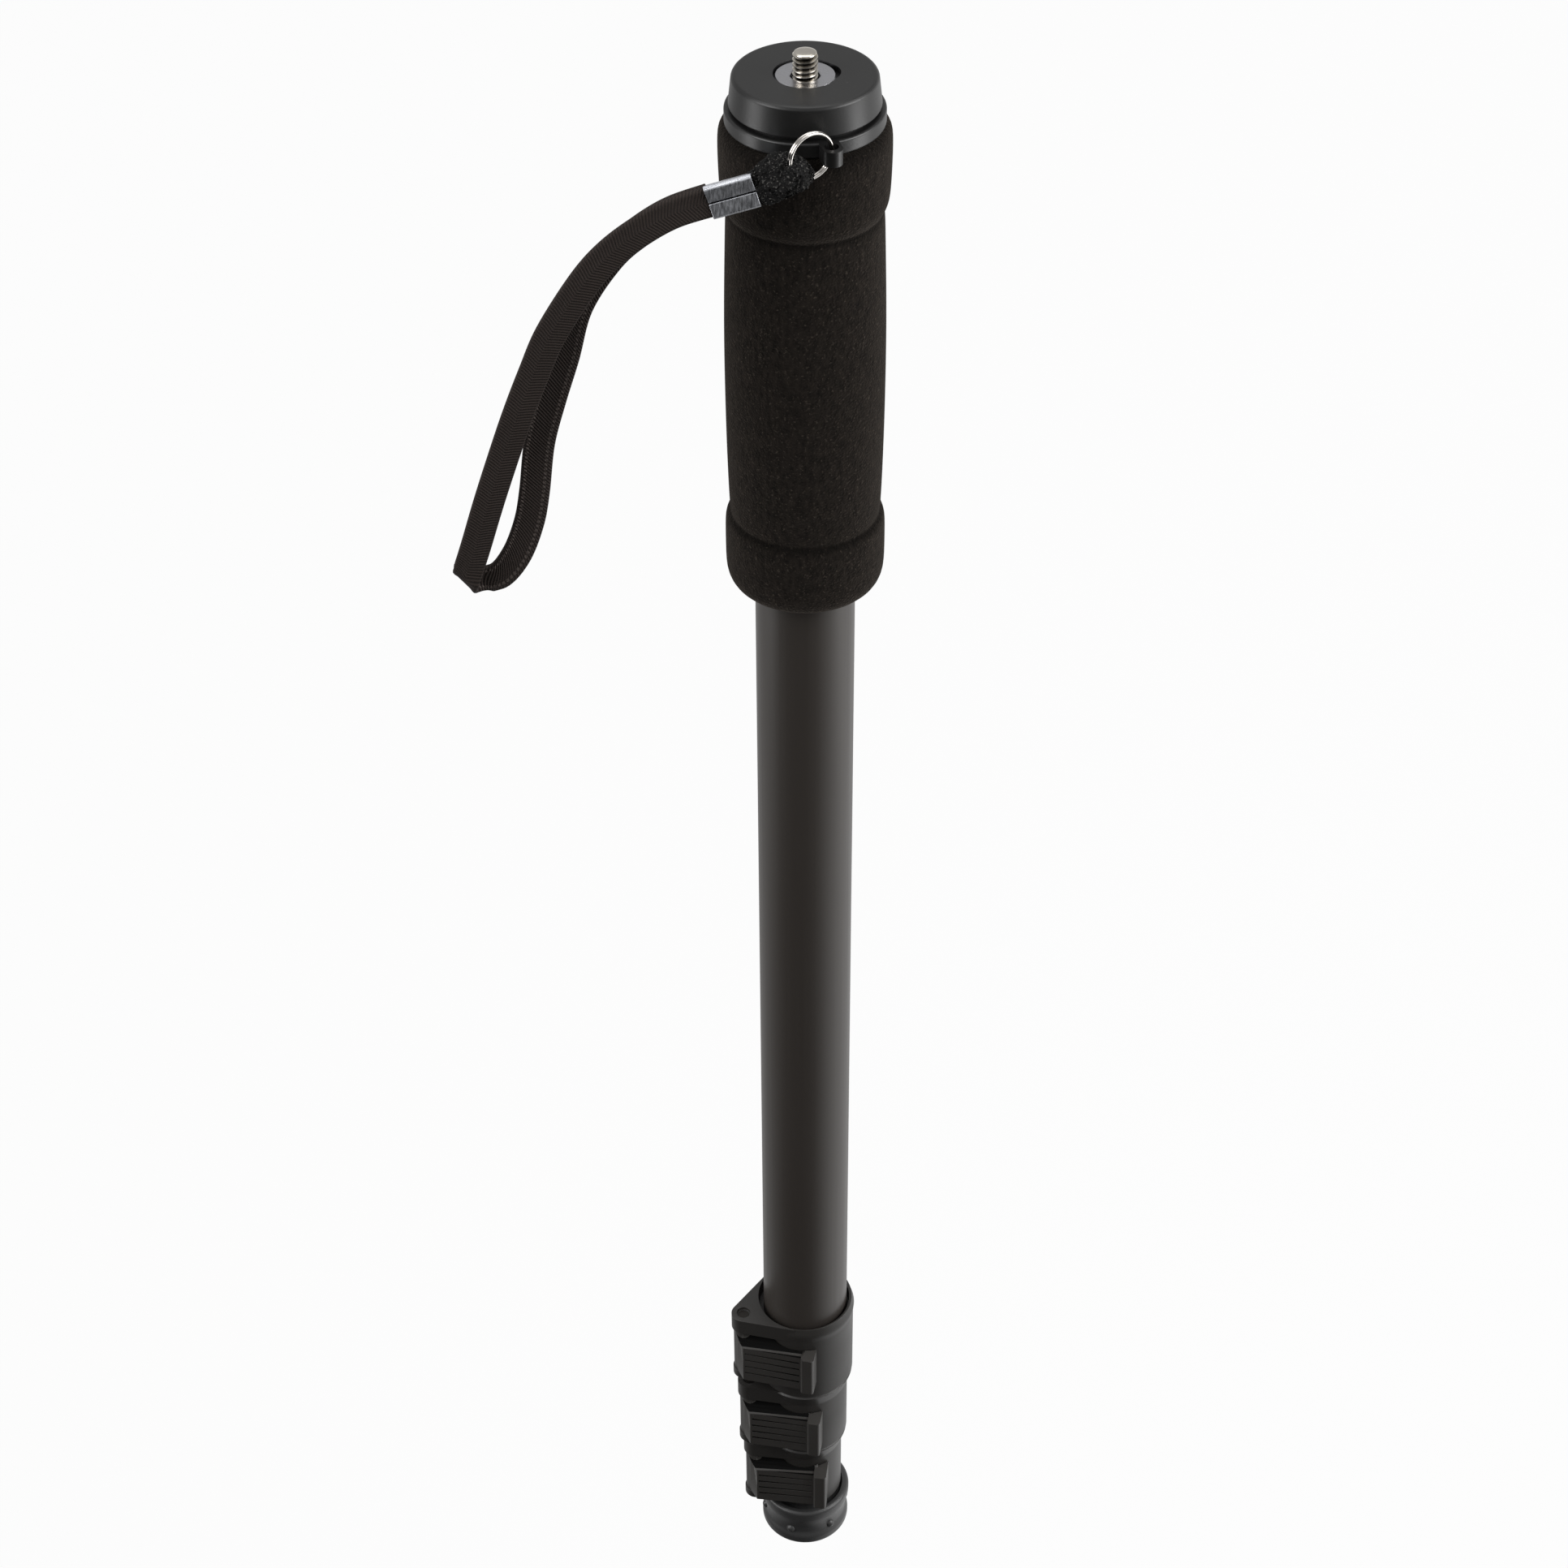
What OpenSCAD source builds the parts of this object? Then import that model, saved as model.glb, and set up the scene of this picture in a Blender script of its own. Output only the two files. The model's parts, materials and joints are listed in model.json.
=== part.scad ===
// Four-section camera monopod with flip-lock clamps, foam grip, wrist strap and rubber foot.
// The origin is on the axis at the platform's top face. +Z is up along the camera stud, -Y is the front.

/* [Camera platform] */
// Diameter of the platform's flat top
platform_d = 36.8; // [34:0.2:38]
// Diameter at the foot of the platform's sloped wall
platform_base_d = 38.2; // [37:0.2:40]
// Height of the platform
platform_h = 8; // [7:0.5:14]
// Rounding of the platform's top edge
platform_edge_r = 1.2; // [0.5:0.1:2]
// Height of the dark groove under the platform
groove_h = 0.7; // [0.4:0.1:2]
// Depth of that groove
groove_depth = 1.2; // [0.5:0.1:3]
// Diameter of the camera stud
stud_d = 6.35; // [6.35:0.05:9.55]
// Height of the stud above the platform
stud_h = 6; // [4.5:0.1:9]
// Diameter of the polished washer round the stud
washer_d = 15.2; // [14:0.1:20]
// Thickness of the washer
washer_t = 1.2; // [0.8:0.1:2.5]
// Depth of the washer's top below the platform's top
washer_sink = 0.4; // [0:0.1:2.5]
// Depth of the crescent cut beside the washer
washer_notch = 0.9; // [0.5:0.1:1.5]
// Direction of that crescent, from +X
washer_notch_angle = 10; // [0:1:60]

/* [Strap collar and ring] */
// Diameter of the strap collar
strap_collar_d = 40.4; // [39:0.2:46]
// Height of the strap collar
strap_collar_h = 4; // [3:0.1:4.6]
// Angle of the strap lug, to the right of the front
lug_angle = 16.8; // [0:0.2:40]
// Distance of the lug's hole past the grip's upper bulge
lug_reach = 0.3; // [0.2:0.1:1.5]
// Length of the lug past the middle of its hole
lug_l = 3.4; // [3:0.1:5]
// Width of the lug
lug_w = 5; // [4.8:0.1:7]
// Diameter of the lug's hole
lug_hole_d = 3.6; // [3.4:0.1:3.8]
// Middle diameter of the split ring
ring_d = 12.1; // [11.6:0.1:14]
// Thickness of the ring's wire
ring_wire = 0.8; // [0.6:0.05:0.85]
// Angle of the ring's plane to the front
ring_turn = 32; // [20:1:36]
// Height of the ring's centre over the lug's middle
ring_rise = 1.1; // [0:0.1:1.4]

/* [Grip] */
// Length of the foam grip
grip_l = 137.5; // [110:0.5:180]
// Diameter of the grip's upper bulge
grip_bulge_d = 43.8; // [42.6:0.2:50]
// Length of the upper bulge
grip_bulge_l = 25; // [20:0.5:32]
// Diameter of the grip's two necks
grip_neck_d = 40; // [38:0.2:41.4]
// Largest diameter of the grip's long middle
grip_middle_d = 42.2; // [41.6:0.1:46]
// Diameter of the grip's lower bulge
grip_end_d = 43.2; // [42:0.1:48]
// Length of the lower bulge
grip_end_l = 24; // [16:0.5:30]

/* [Tubes] */
// Outer diameter of the upper tube
tube_d = 27.5; // [26:0.5:32]
// Wall of every tube
tube_wall = 1.1; // [0.9:0.05:1.3]
// Difference between the outer diameters of neighbouring tubes
tube_step = 3.5; // [3.3:0.1:4]
// Length of the upper tube
upper_tube_l = 449.2; // [440:0.2:520]
// Distance from the platform's top to the second tube's bush
first_bush_s = 30; // [29:0.5:40]
// Distance between one bush and the next
bush_pitch = 4; // [3:0.5:8]
// Length of each guide bush
bush_l = 24; // [10:1:40]

/* [Clamps] */
// Height of the top clamp collar
top_clamp_h = 33.7; // [32:0.1:37]
// Height of the other clamp collars
clamp_h = 30.4; // [30:0.2:36]
// Seam between stacked clamps
clamp_seam = 0.2; // [0.1:0.1:1]
// Wall of the clamp collars over the tube that they hold
clamp_wall = 2.2; // [1.8:0.1:3]
// Depth of the tube's seat in its collar
clamp_seat = 13.6; // [10:0.2:14]
// Widening of the top collar's mouth
top_mouth_flare = 0.3; // [0:0.1:1]
// Height of the bevel round the top collar's mouth
mouth_bevel_h = 2.8; // [1:0.1:4]
// Widening of the other collars' mouths, out to the collar above
mouth_flare = 1.6; // [0.5:0.1:1.7]
// Height of the collar's upper band
band_h = 6; // [5:0.2:7]
// Direction of the clamps' ears, from +X
ear_angle = 200.7; // [190:0.1:215]
// Distance of the hinge pin from the collar's outside
ear_reach = 5.8; // [5.4:0.1:7]
// Radius of the ear round the hinge pin
ear_r = 4; // [3.6:0.1:4.4]
// Thickness of the lower ear
lower_ear_h = 3; // [2:0.1:3.6]
// Diameter of the lever's hinge pin
pin_d = 3.6; // [2.6:0.1:4]
// Depth of the pin's head below the ear's top
pin_sink = 1; // [0.5:0.1:2]
// Width of the sunk ring round the pin's head
pin_recess = 0.45; // [0.2:0.05:0.8]

/* [Levers] */
// Thickness of the lever's plate
plate_t = 2.6; // [2:0.1:3.5]
// Height of the lever from its upper to its lower edge
lever_h = 19.1; // [17:0.1:20]
// Height of the hollow shoulder above the plate
shoulder_h = 3.5; // [2:0.1:4]
// Width of the flat on the plate's upper edge
plate_lip = 0.8; // [0.4:0.1:1.5]
// Length of the plate past the hinge pin
plate_l = 21; // [19:0.1:22]
// Width of the finger tab at the plate's end
tab_w = 4.3; // [3:0.1:6]
// Height of the finger tab over the plate
tab_out = 1.5; // [0.8:0.1:3]
// Number of grip grooves in the plate
groove_count = 4; // [2:1:4]
// Distance between the grooves
groove_pitch = 3.1; // [2.5:0.1:3.5]
// Depth of the grooves
grip_groove_depth = 0.4; // [0.2:0.1:0.8]
// Offset of the lever's cam from its hinge pin
cam_offset = 0.35; // [0.2:0.05:0.5]
// Width of the brake shoe
shoe_w = 8; // [6:0.5:9]

/* [Foot] */
// Diameter of the foot's rims
foot_d = 30.4; // [28:0.2:36]
// Height of the foot
foot_h = 17.3; // [15:0.1:24]
// Diameter of the foot's waist
waist_d = 28; // [25:0.2:28.6]
// Gap between the lowest clamp and the foot
foot_gap = 1.3; // [1:0.1:5]
// Diameter of the nubs round the waist
nub_d = 3.2; // [1.5:0.1:4]
// Number of nubs
nub_count = 6; // [3:1:9]
// Direction of the first nub, from +X
nub_angle = 249; // [240:1:290]
// Diameter of the steel spike
spike_d = 6; // [5:0.1:8]
// Depth of the spike's point above the sole
spike_sink = 1.5; // [0.5:0.1:4]

/* [Strap] */
// Width of the strap
strap_w = 8; // [6:0.5:9]
// Thickness of the strap
strap_t = 1.8; // [1:0.1:2]
// Length of the crimped ferrule
ferrule_l = 12; // [8:0.5:13]
// Thickness of the ferrule's sheet
ferrule_t = 0.5; // [0.3:0.05:0.8]

/* [Clearances] */
// Gap round a piece that is fixed in its seat
fit_gap = 0.05; // [0.02:0.01:0.1]
// Gap round a piece that slides or swings
run_gap = 0.3; // [0.2:0.05:0.4]
// Gap between a guide bush and the tube that it slides in
bush_gap = 0.2; // [0.1:0.05:0.25]
// Gap between a brake shoe and the tube that it grips
shoe_gap = 0.15; // [0.1:0.05:0.3]
// Gap between the cam and the brake shoe
cam_gap = 0.25; // [0.2:0.05:0.4]
// Gap round a hinge pin in its lever
pin_gap = 0.1; // [0.02:0.01:0.1]
// Gap between the foam and its neighbours
foam_gap = 0.2; // [0.1:0.05:0.5]

/* [Hidden] */
$fn = 64;
tiny = 0.01;
over = 1;

platform_z = -platform_h - groove_h;
strap_collar_z = platform_z - strap_collar_h;
foam_top_z = strap_collar_z - foam_gap;
foam_end_z = foam_top_z - grip_l;
plug_l = 16;
plug_end_z = platform_z - plug_l;
plug_cup_wall = 4;
plug_cup_depth = 6;
plug_pin_d = 3;
plug_pin_rise = 4;
plug_pin_bite = 2.5;
stud_head_h = 4;
stud_head_af = 11.1;
stud_relief = 1.2;
stud_root_d = stud_d - stud_relief;
stud_gap = 0.4;
washer_hole_gap = 0.5;
washer_hole_d = stud_d + 2 * washer_hole_gap;
washer_notch_d = 10;

// Outer radius of a tube, numbered from the top, and the height of its lower end
function tube_r(i) = (tube_d - (i - 1) * tube_step) / 2;
function collar_h(i) = i == 1 ? top_clamp_h : clamp_h;
function clamp_z(i) = i == 1 ? platform_z - upper_tube_l + clamp_seat
                             : clamp_z(i - 1) - collar_h(i - 1) - clamp_seam;
function tube_end_z(i) = clamp_z(i) - clamp_seat;
function tube_top_z(i) = i == 1 ? platform_z : -first_bush_s - (i - 2) * bush_pitch;
bush_lip = 2;
bush_bevel = 0.2;

// Clamp geometry in plan
function clamp_r(i) = tube_r(i) + clamp_wall;
function pin_at(i) = clamp_r(i) + ear_reach;
function tangent(i) = acos((clamp_r(i) - ear_r) / pin_at(i));
function front_angle(i) = ear_angle + tangent(i);
function polar(r, a) = [r * cos(a), r * sin(a)];
mouth_gap = 1.3;
mouth_shift = 0.5;
mouth_depth = 5;
mouth_rim = 0.4;
pin_r = pin_d / 2;
knuckle_step = 0.4;
knuckle_r = ear_r - knuckle_step;
plate_in = ear_r + run_gap;
plate_out = plate_in + plate_t;
lever_top = -band_h - run_gap;
plate_top = lever_top - shoulder_h;
plate_end = lever_top - lever_h;
lower_ear_step = 0.3;
lower_ear_z = plate_end - run_gap - lower_ear_h;
wing_at = 1.3;
wing_root = 1;
wing_out = knuckle_r - knuckle_step;
shoulder_in = 2;
shoulder_w = plate_out - plate_lip - shoulder_in;
shoulder_turn = 2 * atan(shoulder_h / shoulder_w);
shoulder_r = shoulder_w / sin(shoulder_turn);
tab_rise = 0.6;
tab_top = plate_top + tab_rise;
tab_root = 1;
plate_groove_w = 0.6;
groove_start = 2.4;
groove_margin = 0.6;
shoe_rise = 2;
shoe_cover = 1.5;
shoe_z = plate_end + shoe_rise;
shoe_h = -clamp_seat - shoe_cover - shoe_z;

// Foot
foot_top_z = clamp_z(3) - collar_h(3) - foot_gap;
foot_end_z = foot_top_z - foot_h;
foot_r = foot_d / 2;
dish_depth = 2;
dish_rim = 2.2;
dish_r = foot_r - dish_rim;
cap_h = 2.6;
cap_lip = 0.6;
cap_z = foot_top_z - dish_depth + cap_h + run_gap;
plug_in_tube = 22;
spike_floor = 4;
spike_tip_r = 0.4;
spike_top_z = cap_z + plug_in_tube - spike_floor;
nut_wall = 2.5;
nut_r = spike_d / 2 + nut_wall;
nut_h = 7;
nut_cover = 1;
nut_z = foot_top_z - dish_depth - nut_cover;
lip_step = 0.3;
waist_flat = 0.5;
nub_sink = 0.5;
dish_slope = 1;

// Strap, ring and ferrule
lug_dir = [sin(lug_angle), -cos(lug_angle)];
lug_r = grip_bulge_d / 2 + lug_reach;
lug_at = lug_r * lug_dir;
ring_r = ring_d / 2;
lug_z = platform_z - strap_collar_h / 2;
ring_at = [lug_at.x - ring_r * cos(ring_turn), lug_at.y - ring_r * sin(ring_turn), lug_z + ring_rise];
coil_share = 0.49;
strap_from_lug = [-4.65, -3.4, 0];
strap_at = [lug_at.x, lug_at.y, lug_z] + strap_from_lug;
ferrule_slope = 17;
ferrule_at = [-19.4, -1.4, -7.8];
strand_gap = 2.9;
strap_gap = 0.1;
ferrule_in_w = strap_w + 2 * strap_gap;
ferrule_in_t = strand_gap + strap_t + 2 * strap_gap;
ferrule_corner = 0.6;
// Route of the strap's middle from its tie, and the turn of its width from +X towards +Z
strap_route = [
    [-25.0, -2.9, -9.5, -73], [-34.0, -3.2, -12.5, -67], [-42.0, -3.5, -17.2, -55],
    [-49.5, -3.5, -24.2, -45], [-55.5, -4.0, -32.5, -36], [-64.5, -4.0, -46.5, -30],
    [-70.0, -4.0, -57.5, -25], [-74.5, -4.5, -69.0, -20], [-78.5, -4.5, -80.5, -19],
    [-83.5, -5.0, -95.5, -17], [-87.8, -5.0, -109.5, -16], [-90.2, -4.8, -117.0, -22],
    [-90.8, -3.2, -120.2, -49], [-88.0, -1.5, -122.8, -76], [-83.0, -1.2, -121.8, -68],
    [-77.8, -1.2, -115.0, -44], [-74.0, -1.0, -105.0, -18], [-72.0, -1.0, -95.0, -10],
    [-70.0, -0.5, -80.5, -11], [-66.5, -0.5, -67.5, -16], [-62.2, -0.5, -55.0, -20],
    [-56.5, -0.5, -40.5, -26], [-50.0, 0.0, -26.5, -42], [-42.0, 0.0, -19.0, -53],
    [-34.0, 0.0, -13.5, -65], [-25.0, 0.0, -9.5, -73]
];

// Points of an arc round a centre, in as many steps as asked
function arc(at, r, from, to, steps) =
    [for (i = [0 : steps]) at + polar(r, from + (to - from) * i / steps)];

// Points of an S-shaped blend from one radius to another down a profile
function blend(from, to, steps) =
    [for (i = [0 : steps])
        let (t = i / steps)
        [from.x + (to.x - from.x) * (1 - cos(180 * t)) / 2, from.y + (to.y - from.y) * t]];

module ring_of(outer, inner, top, bottom) {
    translate([0, 0, bottom])
        difference() {
            cylinder(r = outer, h = top - bottom);
            translate([0, 0, -over])
                cylinder(r = inner, h = top - bottom + 2 * over);
        }
}

module drill(r, top, bottom) {
    translate([0, 0, bottom])
        cylinder(r = r, h = top - bottom);
}

// Head: platform, washer, stud and the plug in the upper tube

module camera_platform() {
    top_r = platform_d / 2;
    base_r = platform_base_d / 2;
    lip = 0.5;
    notch_at = washer_d / 2 + stud_gap + washer_notch - washer_notch_d / 2;
    color([0.16, 0.16, 0.17])
        difference() {
            rotate_extrude($fn = 96)
                polygon(concat(
                    [[0, platform_z], [0, 0]],
                    arc([top_r - platform_edge_r, -platform_edge_r], platform_edge_r, 90, 0, 5),
                    arc([base_r - lip, -platform_h + lip], lip, 0, -90, 4),
                    [[base_r - groove_depth, -platform_h], [base_r - groove_depth, platform_z]]));
            drill(washer_d / 2 + stud_gap, over, -washer_sink - washer_t);
            drill(stud_d / 2 + stud_gap, over, platform_z - over);
            rotate(washer_notch_angle)
                translate([notch_at, 0, 0])
                    drill(washer_notch_d / 2, over, -washer_sink - washer_t);
        }
}

module stud_washer() {
    bevel = 0.25;
    top = -washer_sink;
    low = top - washer_t;
    edge = washer_d / 2;
    hole = washer_hole_d / 2;
    color([0.8, 0.8, 0.8])
        rotate_extrude()
            polygon([[hole + bevel, top], [edge - bevel, top], [edge, top - bevel], [edge, low],
                     [hole, low], [hole, top - bevel]]);
}

module camera_stud() {
    tip = 0.8;
    head_z = platform_z - stud_head_h;
    color([0.8, 0.78, 0.74])
        union() {
            drill(stud_d / 2, stud_h - tip, 0);
            drill(stud_root_d / 2, tiny, platform_z - tiny);
            translate([0, 0, stud_h - tip])
                cylinder(r1 = stud_d / 2, r2 = stud_d / 2 - tip, h = tip);
            translate([0, 0, head_z])
                cylinder(d = stud_head_af / cos(30), h = stud_head_h, $fn = 6);
        }
}

module head_plug() {
    color([0.2, 0.2, 0.2])
        difference() {
            drill(tube_r(1) - tube_wall - fit_gap, platform_z, plug_end_z);
            translate([0, 0, platform_z - stud_head_h])
                cylinder(d = (stud_head_af + 2 * fit_gap) / cos(30), h = stud_head_h + over, $fn = 6);
            drill(tube_r(1) - tube_wall - plug_cup_wall, plug_end_z + plug_cup_depth, plug_end_z - over);
            at_plug_pins()
                cylinder(d = plug_pin_d + 2 * fit_gap, h = tube_d, center = true);
        }
}

module at_plug_pins() {
    for (side = [0, 180])
        rotate(side)
            translate([tube_r(1), 0, plug_end_z + plug_pin_rise])
                rotate([0, 90, 0])
                    children();
}

module plug_pins() {
    inside = tube_wall + plug_pin_bite;
    color([0.6, 0.6, 0.6])
        at_plug_pins()
            translate([0, 0, -inside])
                cylinder(d = plug_pin_d, h = inside);
}

module strap_collar() {
    edge = 0.6;
    outer = strap_collar_d / 2;
    inner = tube_r(1) + fit_gap;
    color([0.16, 0.16, 0.17])
        difference() {
            union() {
                rotate_extrude($fn = 96)
                    polygon(concat(
                        [[inner, strap_collar_z], [inner, platform_z]],
                        arc([outer - edge, platform_z - edge], edge, 90, 0, 4),
                        arc([outer - edge, strap_collar_z + edge], edge, 0, -90, 4)));
                translate([0, 0, strap_collar_z])
                    linear_extrude(strap_collar_h)
                        lug_plan();
            }
            translate(lug_at)
                drill(lug_hole_d / 2, platform_z + over, strap_collar_z - over);
        }
}

module lug_plan() {
    root = strap_collar_d / 2 - lug_w / 2;
    tip = lug_r + lug_l - lug_w / 2;
    translate(tip * lug_dir)
        circle(d = lug_w);
    rotate(lug_angle - 90)
        translate([root, -lug_w / 2])
            square([tip - root, lug_w]);
}

// Grip

module foam_grip() {
    top = foam_top_z;
    inner = tube_r(1) + foam_gap;
    bulge = grip_bulge_d / 2;
    neck = grip_neck_d / 2;
    middle = grip_middle_d / 2;
    end = grip_end_d / 2;
    edge = 2.4;
    end_edge = 3.2;
    taper = 0.5;
    neck_h = 1.5;
    rise = 38.5;
    fall = 28.5;
    bulge_end = top - grip_bulge_l;
    neck_2 = foam_end_z + grip_end_l;
    color([0.12, 0.11, 0.1])
        rotate_extrude($fn = 96)
            polygon(concat(
                [[inner, top]],
                arc([bulge - edge, top - edge], edge, 90, 0, 5),
                arc([bulge - taper - edge, bulge_end + edge], edge, 0, -60, 4),
                blend([neck, bulge_end - neck_h], [middle, bulge_end - neck_h - rise], 8),
                blend([middle, neck_2 + neck_h + fall], [neck, neck_2 + neck_h], 8),
                arc([end - edge, neck_2 - edge], edge, 60, 0, 4),
                arc([end - end_edge, foam_end_z + end_edge], end_edge, 0, -90, 6),
                [[inner, foam_end_z]]));
}

// Tubes and their guide bushes

module tube(i, top, bottom) {
    color([0.2, 0.18, 0.17])
        difference() {
            ring_of(tube_r(i), tube_r(i) - tube_wall, top, bottom);
            if (i == 1)
                at_plug_pins()
                    cylinder(d = plug_pin_d + 2 * fit_gap, h = 2 * tube_wall + over, center = true);
        }
}

module guide_bush(i) {
    top = tube_top_z(i);
    outer = tube_r(i - 1) - tube_wall - bush_gap;
    over_tube = tube_r(i) + fit_gap;
    bore = tube_r(i) - tube_wall;
    color([0.1, 0.1, 0.1])
        rotate_extrude()
            polygon([[bore, top], [outer - bush_bevel, top], [outer, top - bush_bevel],
                     [outer, top - bush_lip - bush_l], [over_tube, top - bush_lip - bush_l],
                     [over_tube, top - bush_lip], [bore, top - bush_lip]]);
}

// Flip-lock clamps

// Plan of an ear: its round end and the flat sides that touch it and the collar
module ear_plan(i, r) {
    at = polar(pin_at(i), ear_angle);
    turn = acos((clamp_r(i) - r) / pin_at(i));
    translate(at)
        circle(r = r);
    polygon([polar(clamp_r(i) - tiny, ear_angle - turn), at + polar(r - tiny, ear_angle - turn),
             at + polar(r - tiny, ear_angle + turn), polar(clamp_r(i) - tiny, ear_angle + turn)]);
}

module clamp_collar(i) {
    r = clamp_r(i);
    high = collar_h(i);
    seat_r = tube_r(i) + fit_gap;
    slide_r = tube_r(i + 1) + run_gap;
    mouth_r = tube_r(i) + mouth_gap;
    bevel = 0.6;
    mouth = i == 1 ? [[mouth_r + mouth_rim, 0], [r + top_mouth_flare, -mouth_bevel_h]]
                   : [[r + mouth_flare - bevel, 0], [r + mouth_flare, -bevel]];
    window_w = shoe_w + 2 * run_gap;
    color([0.18, 0.17, 0.17])
        translate([0, 0, clamp_z(i)])
            difference() {
                union() {
                    rotate_extrude($fn = 96)
                        polygon(concat(
                            [[0, 0]], mouth,
                            [[r, -band_h], [r, bevel - high], [r - bevel, -high], [0, -high]]));
                    translate([0, 0, -band_h])
                        linear_extrude(band_h)
                            ear_plan(i, ear_r);
                    translate([0, 0, lower_ear_z])
                        linear_extrude(lower_ear_h)
                            ear_plan(i, ear_r - lower_ear_step);
                }
                translate(polar(mouth_shift, ear_angle))
                    drill(mouth_r, over, -mouth_depth);
                drill(seat_r, over, -clamp_seat);
                drill(slide_r, over, -high - over);
                translate(polar(pin_at(i), ear_angle))
                    drill(pin_r + fit_gap, over, -high - over);
                translate(polar(pin_at(i), ear_angle))
                    drill(pin_r + pin_recess, over, -pin_sink);
                rotate(ear_angle)
                    translate([0, -window_w / 2, shoe_z - run_gap])
                        cube([r + over, window_w, shoe_h + 2 * run_gap]);
            }
}

// Places its children at a clamp's hinge pin, with X along the plate and -Y out of it
module at_pin(i) {
    translate([0, 0, clamp_z(i)])
        translate(polar(pin_at(i), ear_angle))
            rotate(front_angle(i) + 90)
                children();
}

module clamp_lever(i) {
    axis_at = [pin_at(i) * sin(tangent(i)), clamp_r(i) - ear_r];
    to_axis = axis_at / pin_at(i);
    first_groove = plate_top - groove_start;
    groove_from = wing_at + groove_margin;
    color([0.17, 0.17, 0.17])
        at_pin(i)
            difference() {
                union() {
                    translate(cam_offset * to_axis)
                        drill(knuckle_r, lever_top, plate_end);
                    lever_plate(plate_l + tab_root);
                    lever_tab(plate_l);
                }
                translate(axis_at)
                    drill(clamp_r(i) + run_gap, over, -collar_h(i));
                drill(pin_r + pin_gap, over, -collar_h(i));
                for (n = [0 : groove_count - 1])
                    translate([groove_from, -plate_out - over,
                               first_groove - n * groove_pitch - plate_groove_w])
                        cube([plate_l - groove_margin - groove_from, over + grip_groove_depth,
                              plate_groove_w]);
            }
}

// Grooved plate with its hollow shoulder, cut off at a slant on the hinge side
module lever_plate(length) {
    intersection() {
        translate([-knuckle_r, 0, 0])
            rotate([90, 0, 90])
                linear_extrude(length + knuckle_r)
                    polygon(concat(
                        [[-plate_in, plate_end], [-plate_out, plate_end], [-plate_out, plate_top]],
                        arc([plate_lip - plate_out, plate_top + shoulder_r], shoulder_r,
                            -90, shoulder_turn - 90, 6),
                        [[0, lever_top], [0, plate_top - over], [-plate_in, plate_top - over]]));
        translate([0, 0, plate_end])
            linear_extrude(lever_top - plate_end)
                polygon([[-wing_out, -wing_root], [wing_at, -plate_out], [length, -plate_out],
                         [length, 0], [-wing_out, 0]]);
    }
    translate([0, 0, plate_end])
        linear_extrude(plate_top - plate_end)
            polygon([[-wing_out, -wing_root], [wing_at, -plate_out], [knuckle_r, -plate_out],
                     [knuckle_r, -wing_root]]);
}

// Upright finger tab with rounded outer corners
module lever_tab(from) {
    round = 0.9;
    out = plate_out + tab_out;
    translate([from, 0, plate_end])
        linear_extrude(tab_top - plate_end) {
            translate([0, -out + round])
                square([tab_w, out - round]);
            translate([round, -out])
                square([tab_w - 2 * round, out]);
            for (x = [round, tab_w - round])
                translate([x, -out + round])
                    circle(r = round);
        }
}

module lever_pin(i) {
    color([0.55, 0.54, 0.52])
        translate([0, 0, clamp_z(i)])
            translate(polar(pin_at(i), ear_angle))
                drill(pin_r, -pin_sink, lower_ear_z);
}

module brake_shoe(i) {
    face = pin_at(i) - knuckle_r - cam_offset - cam_gap;
    color([0.75, 0.6, 0.3])
        translate([0, 0, clamp_z(i)])
            difference() {
                rotate(ear_angle)
                    translate([0, -shoe_w / 2, shoe_z])
                        cube([face, shoe_w, shoe_h]);
                drill(tube_r(i + 1) + shoe_gap, 0, -collar_h(i));
            }
}

// Foot: plug in the lowest tube, spike, nut and rubber wheel

module foot_plug() {
    bore = tube_r(4) - tube_wall - fit_gap;
    cap_r = tube_r(4) + cap_lip;
    color([0.14, 0.14, 0.14])
        difference() {
            union() {
                drill(bore, cap_z + plug_in_tube, cap_z - cap_h);
                drill(cap_r, cap_z, cap_z - cap_h);
            }
            drill(spike_d / 2 + fit_gap, spike_top_z, cap_z - cap_h - over);
        }
}

module foot_spike() {
    point = 5;
    point_z = foot_end_z + spike_sink;
    color([0.7, 0.7, 0.7])
        union() {
            drill(spike_d / 2, spike_top_z, point_z + point);
            translate([0, 0, point_z])
                cylinder(r1 = spike_tip_r, r2 = spike_d / 2, h = point);
        }
}

module foot_nut() {
    color([0.78, 0.62, 0.3])
        difference() {
            translate([0, 0, nut_z - nut_h])
                cylinder(r = nut_r, h = nut_h, $fn = 6);
            drill(spike_d / 2 + fit_gap, nut_z + over, nut_z - nut_h - over);
        }
}

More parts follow.
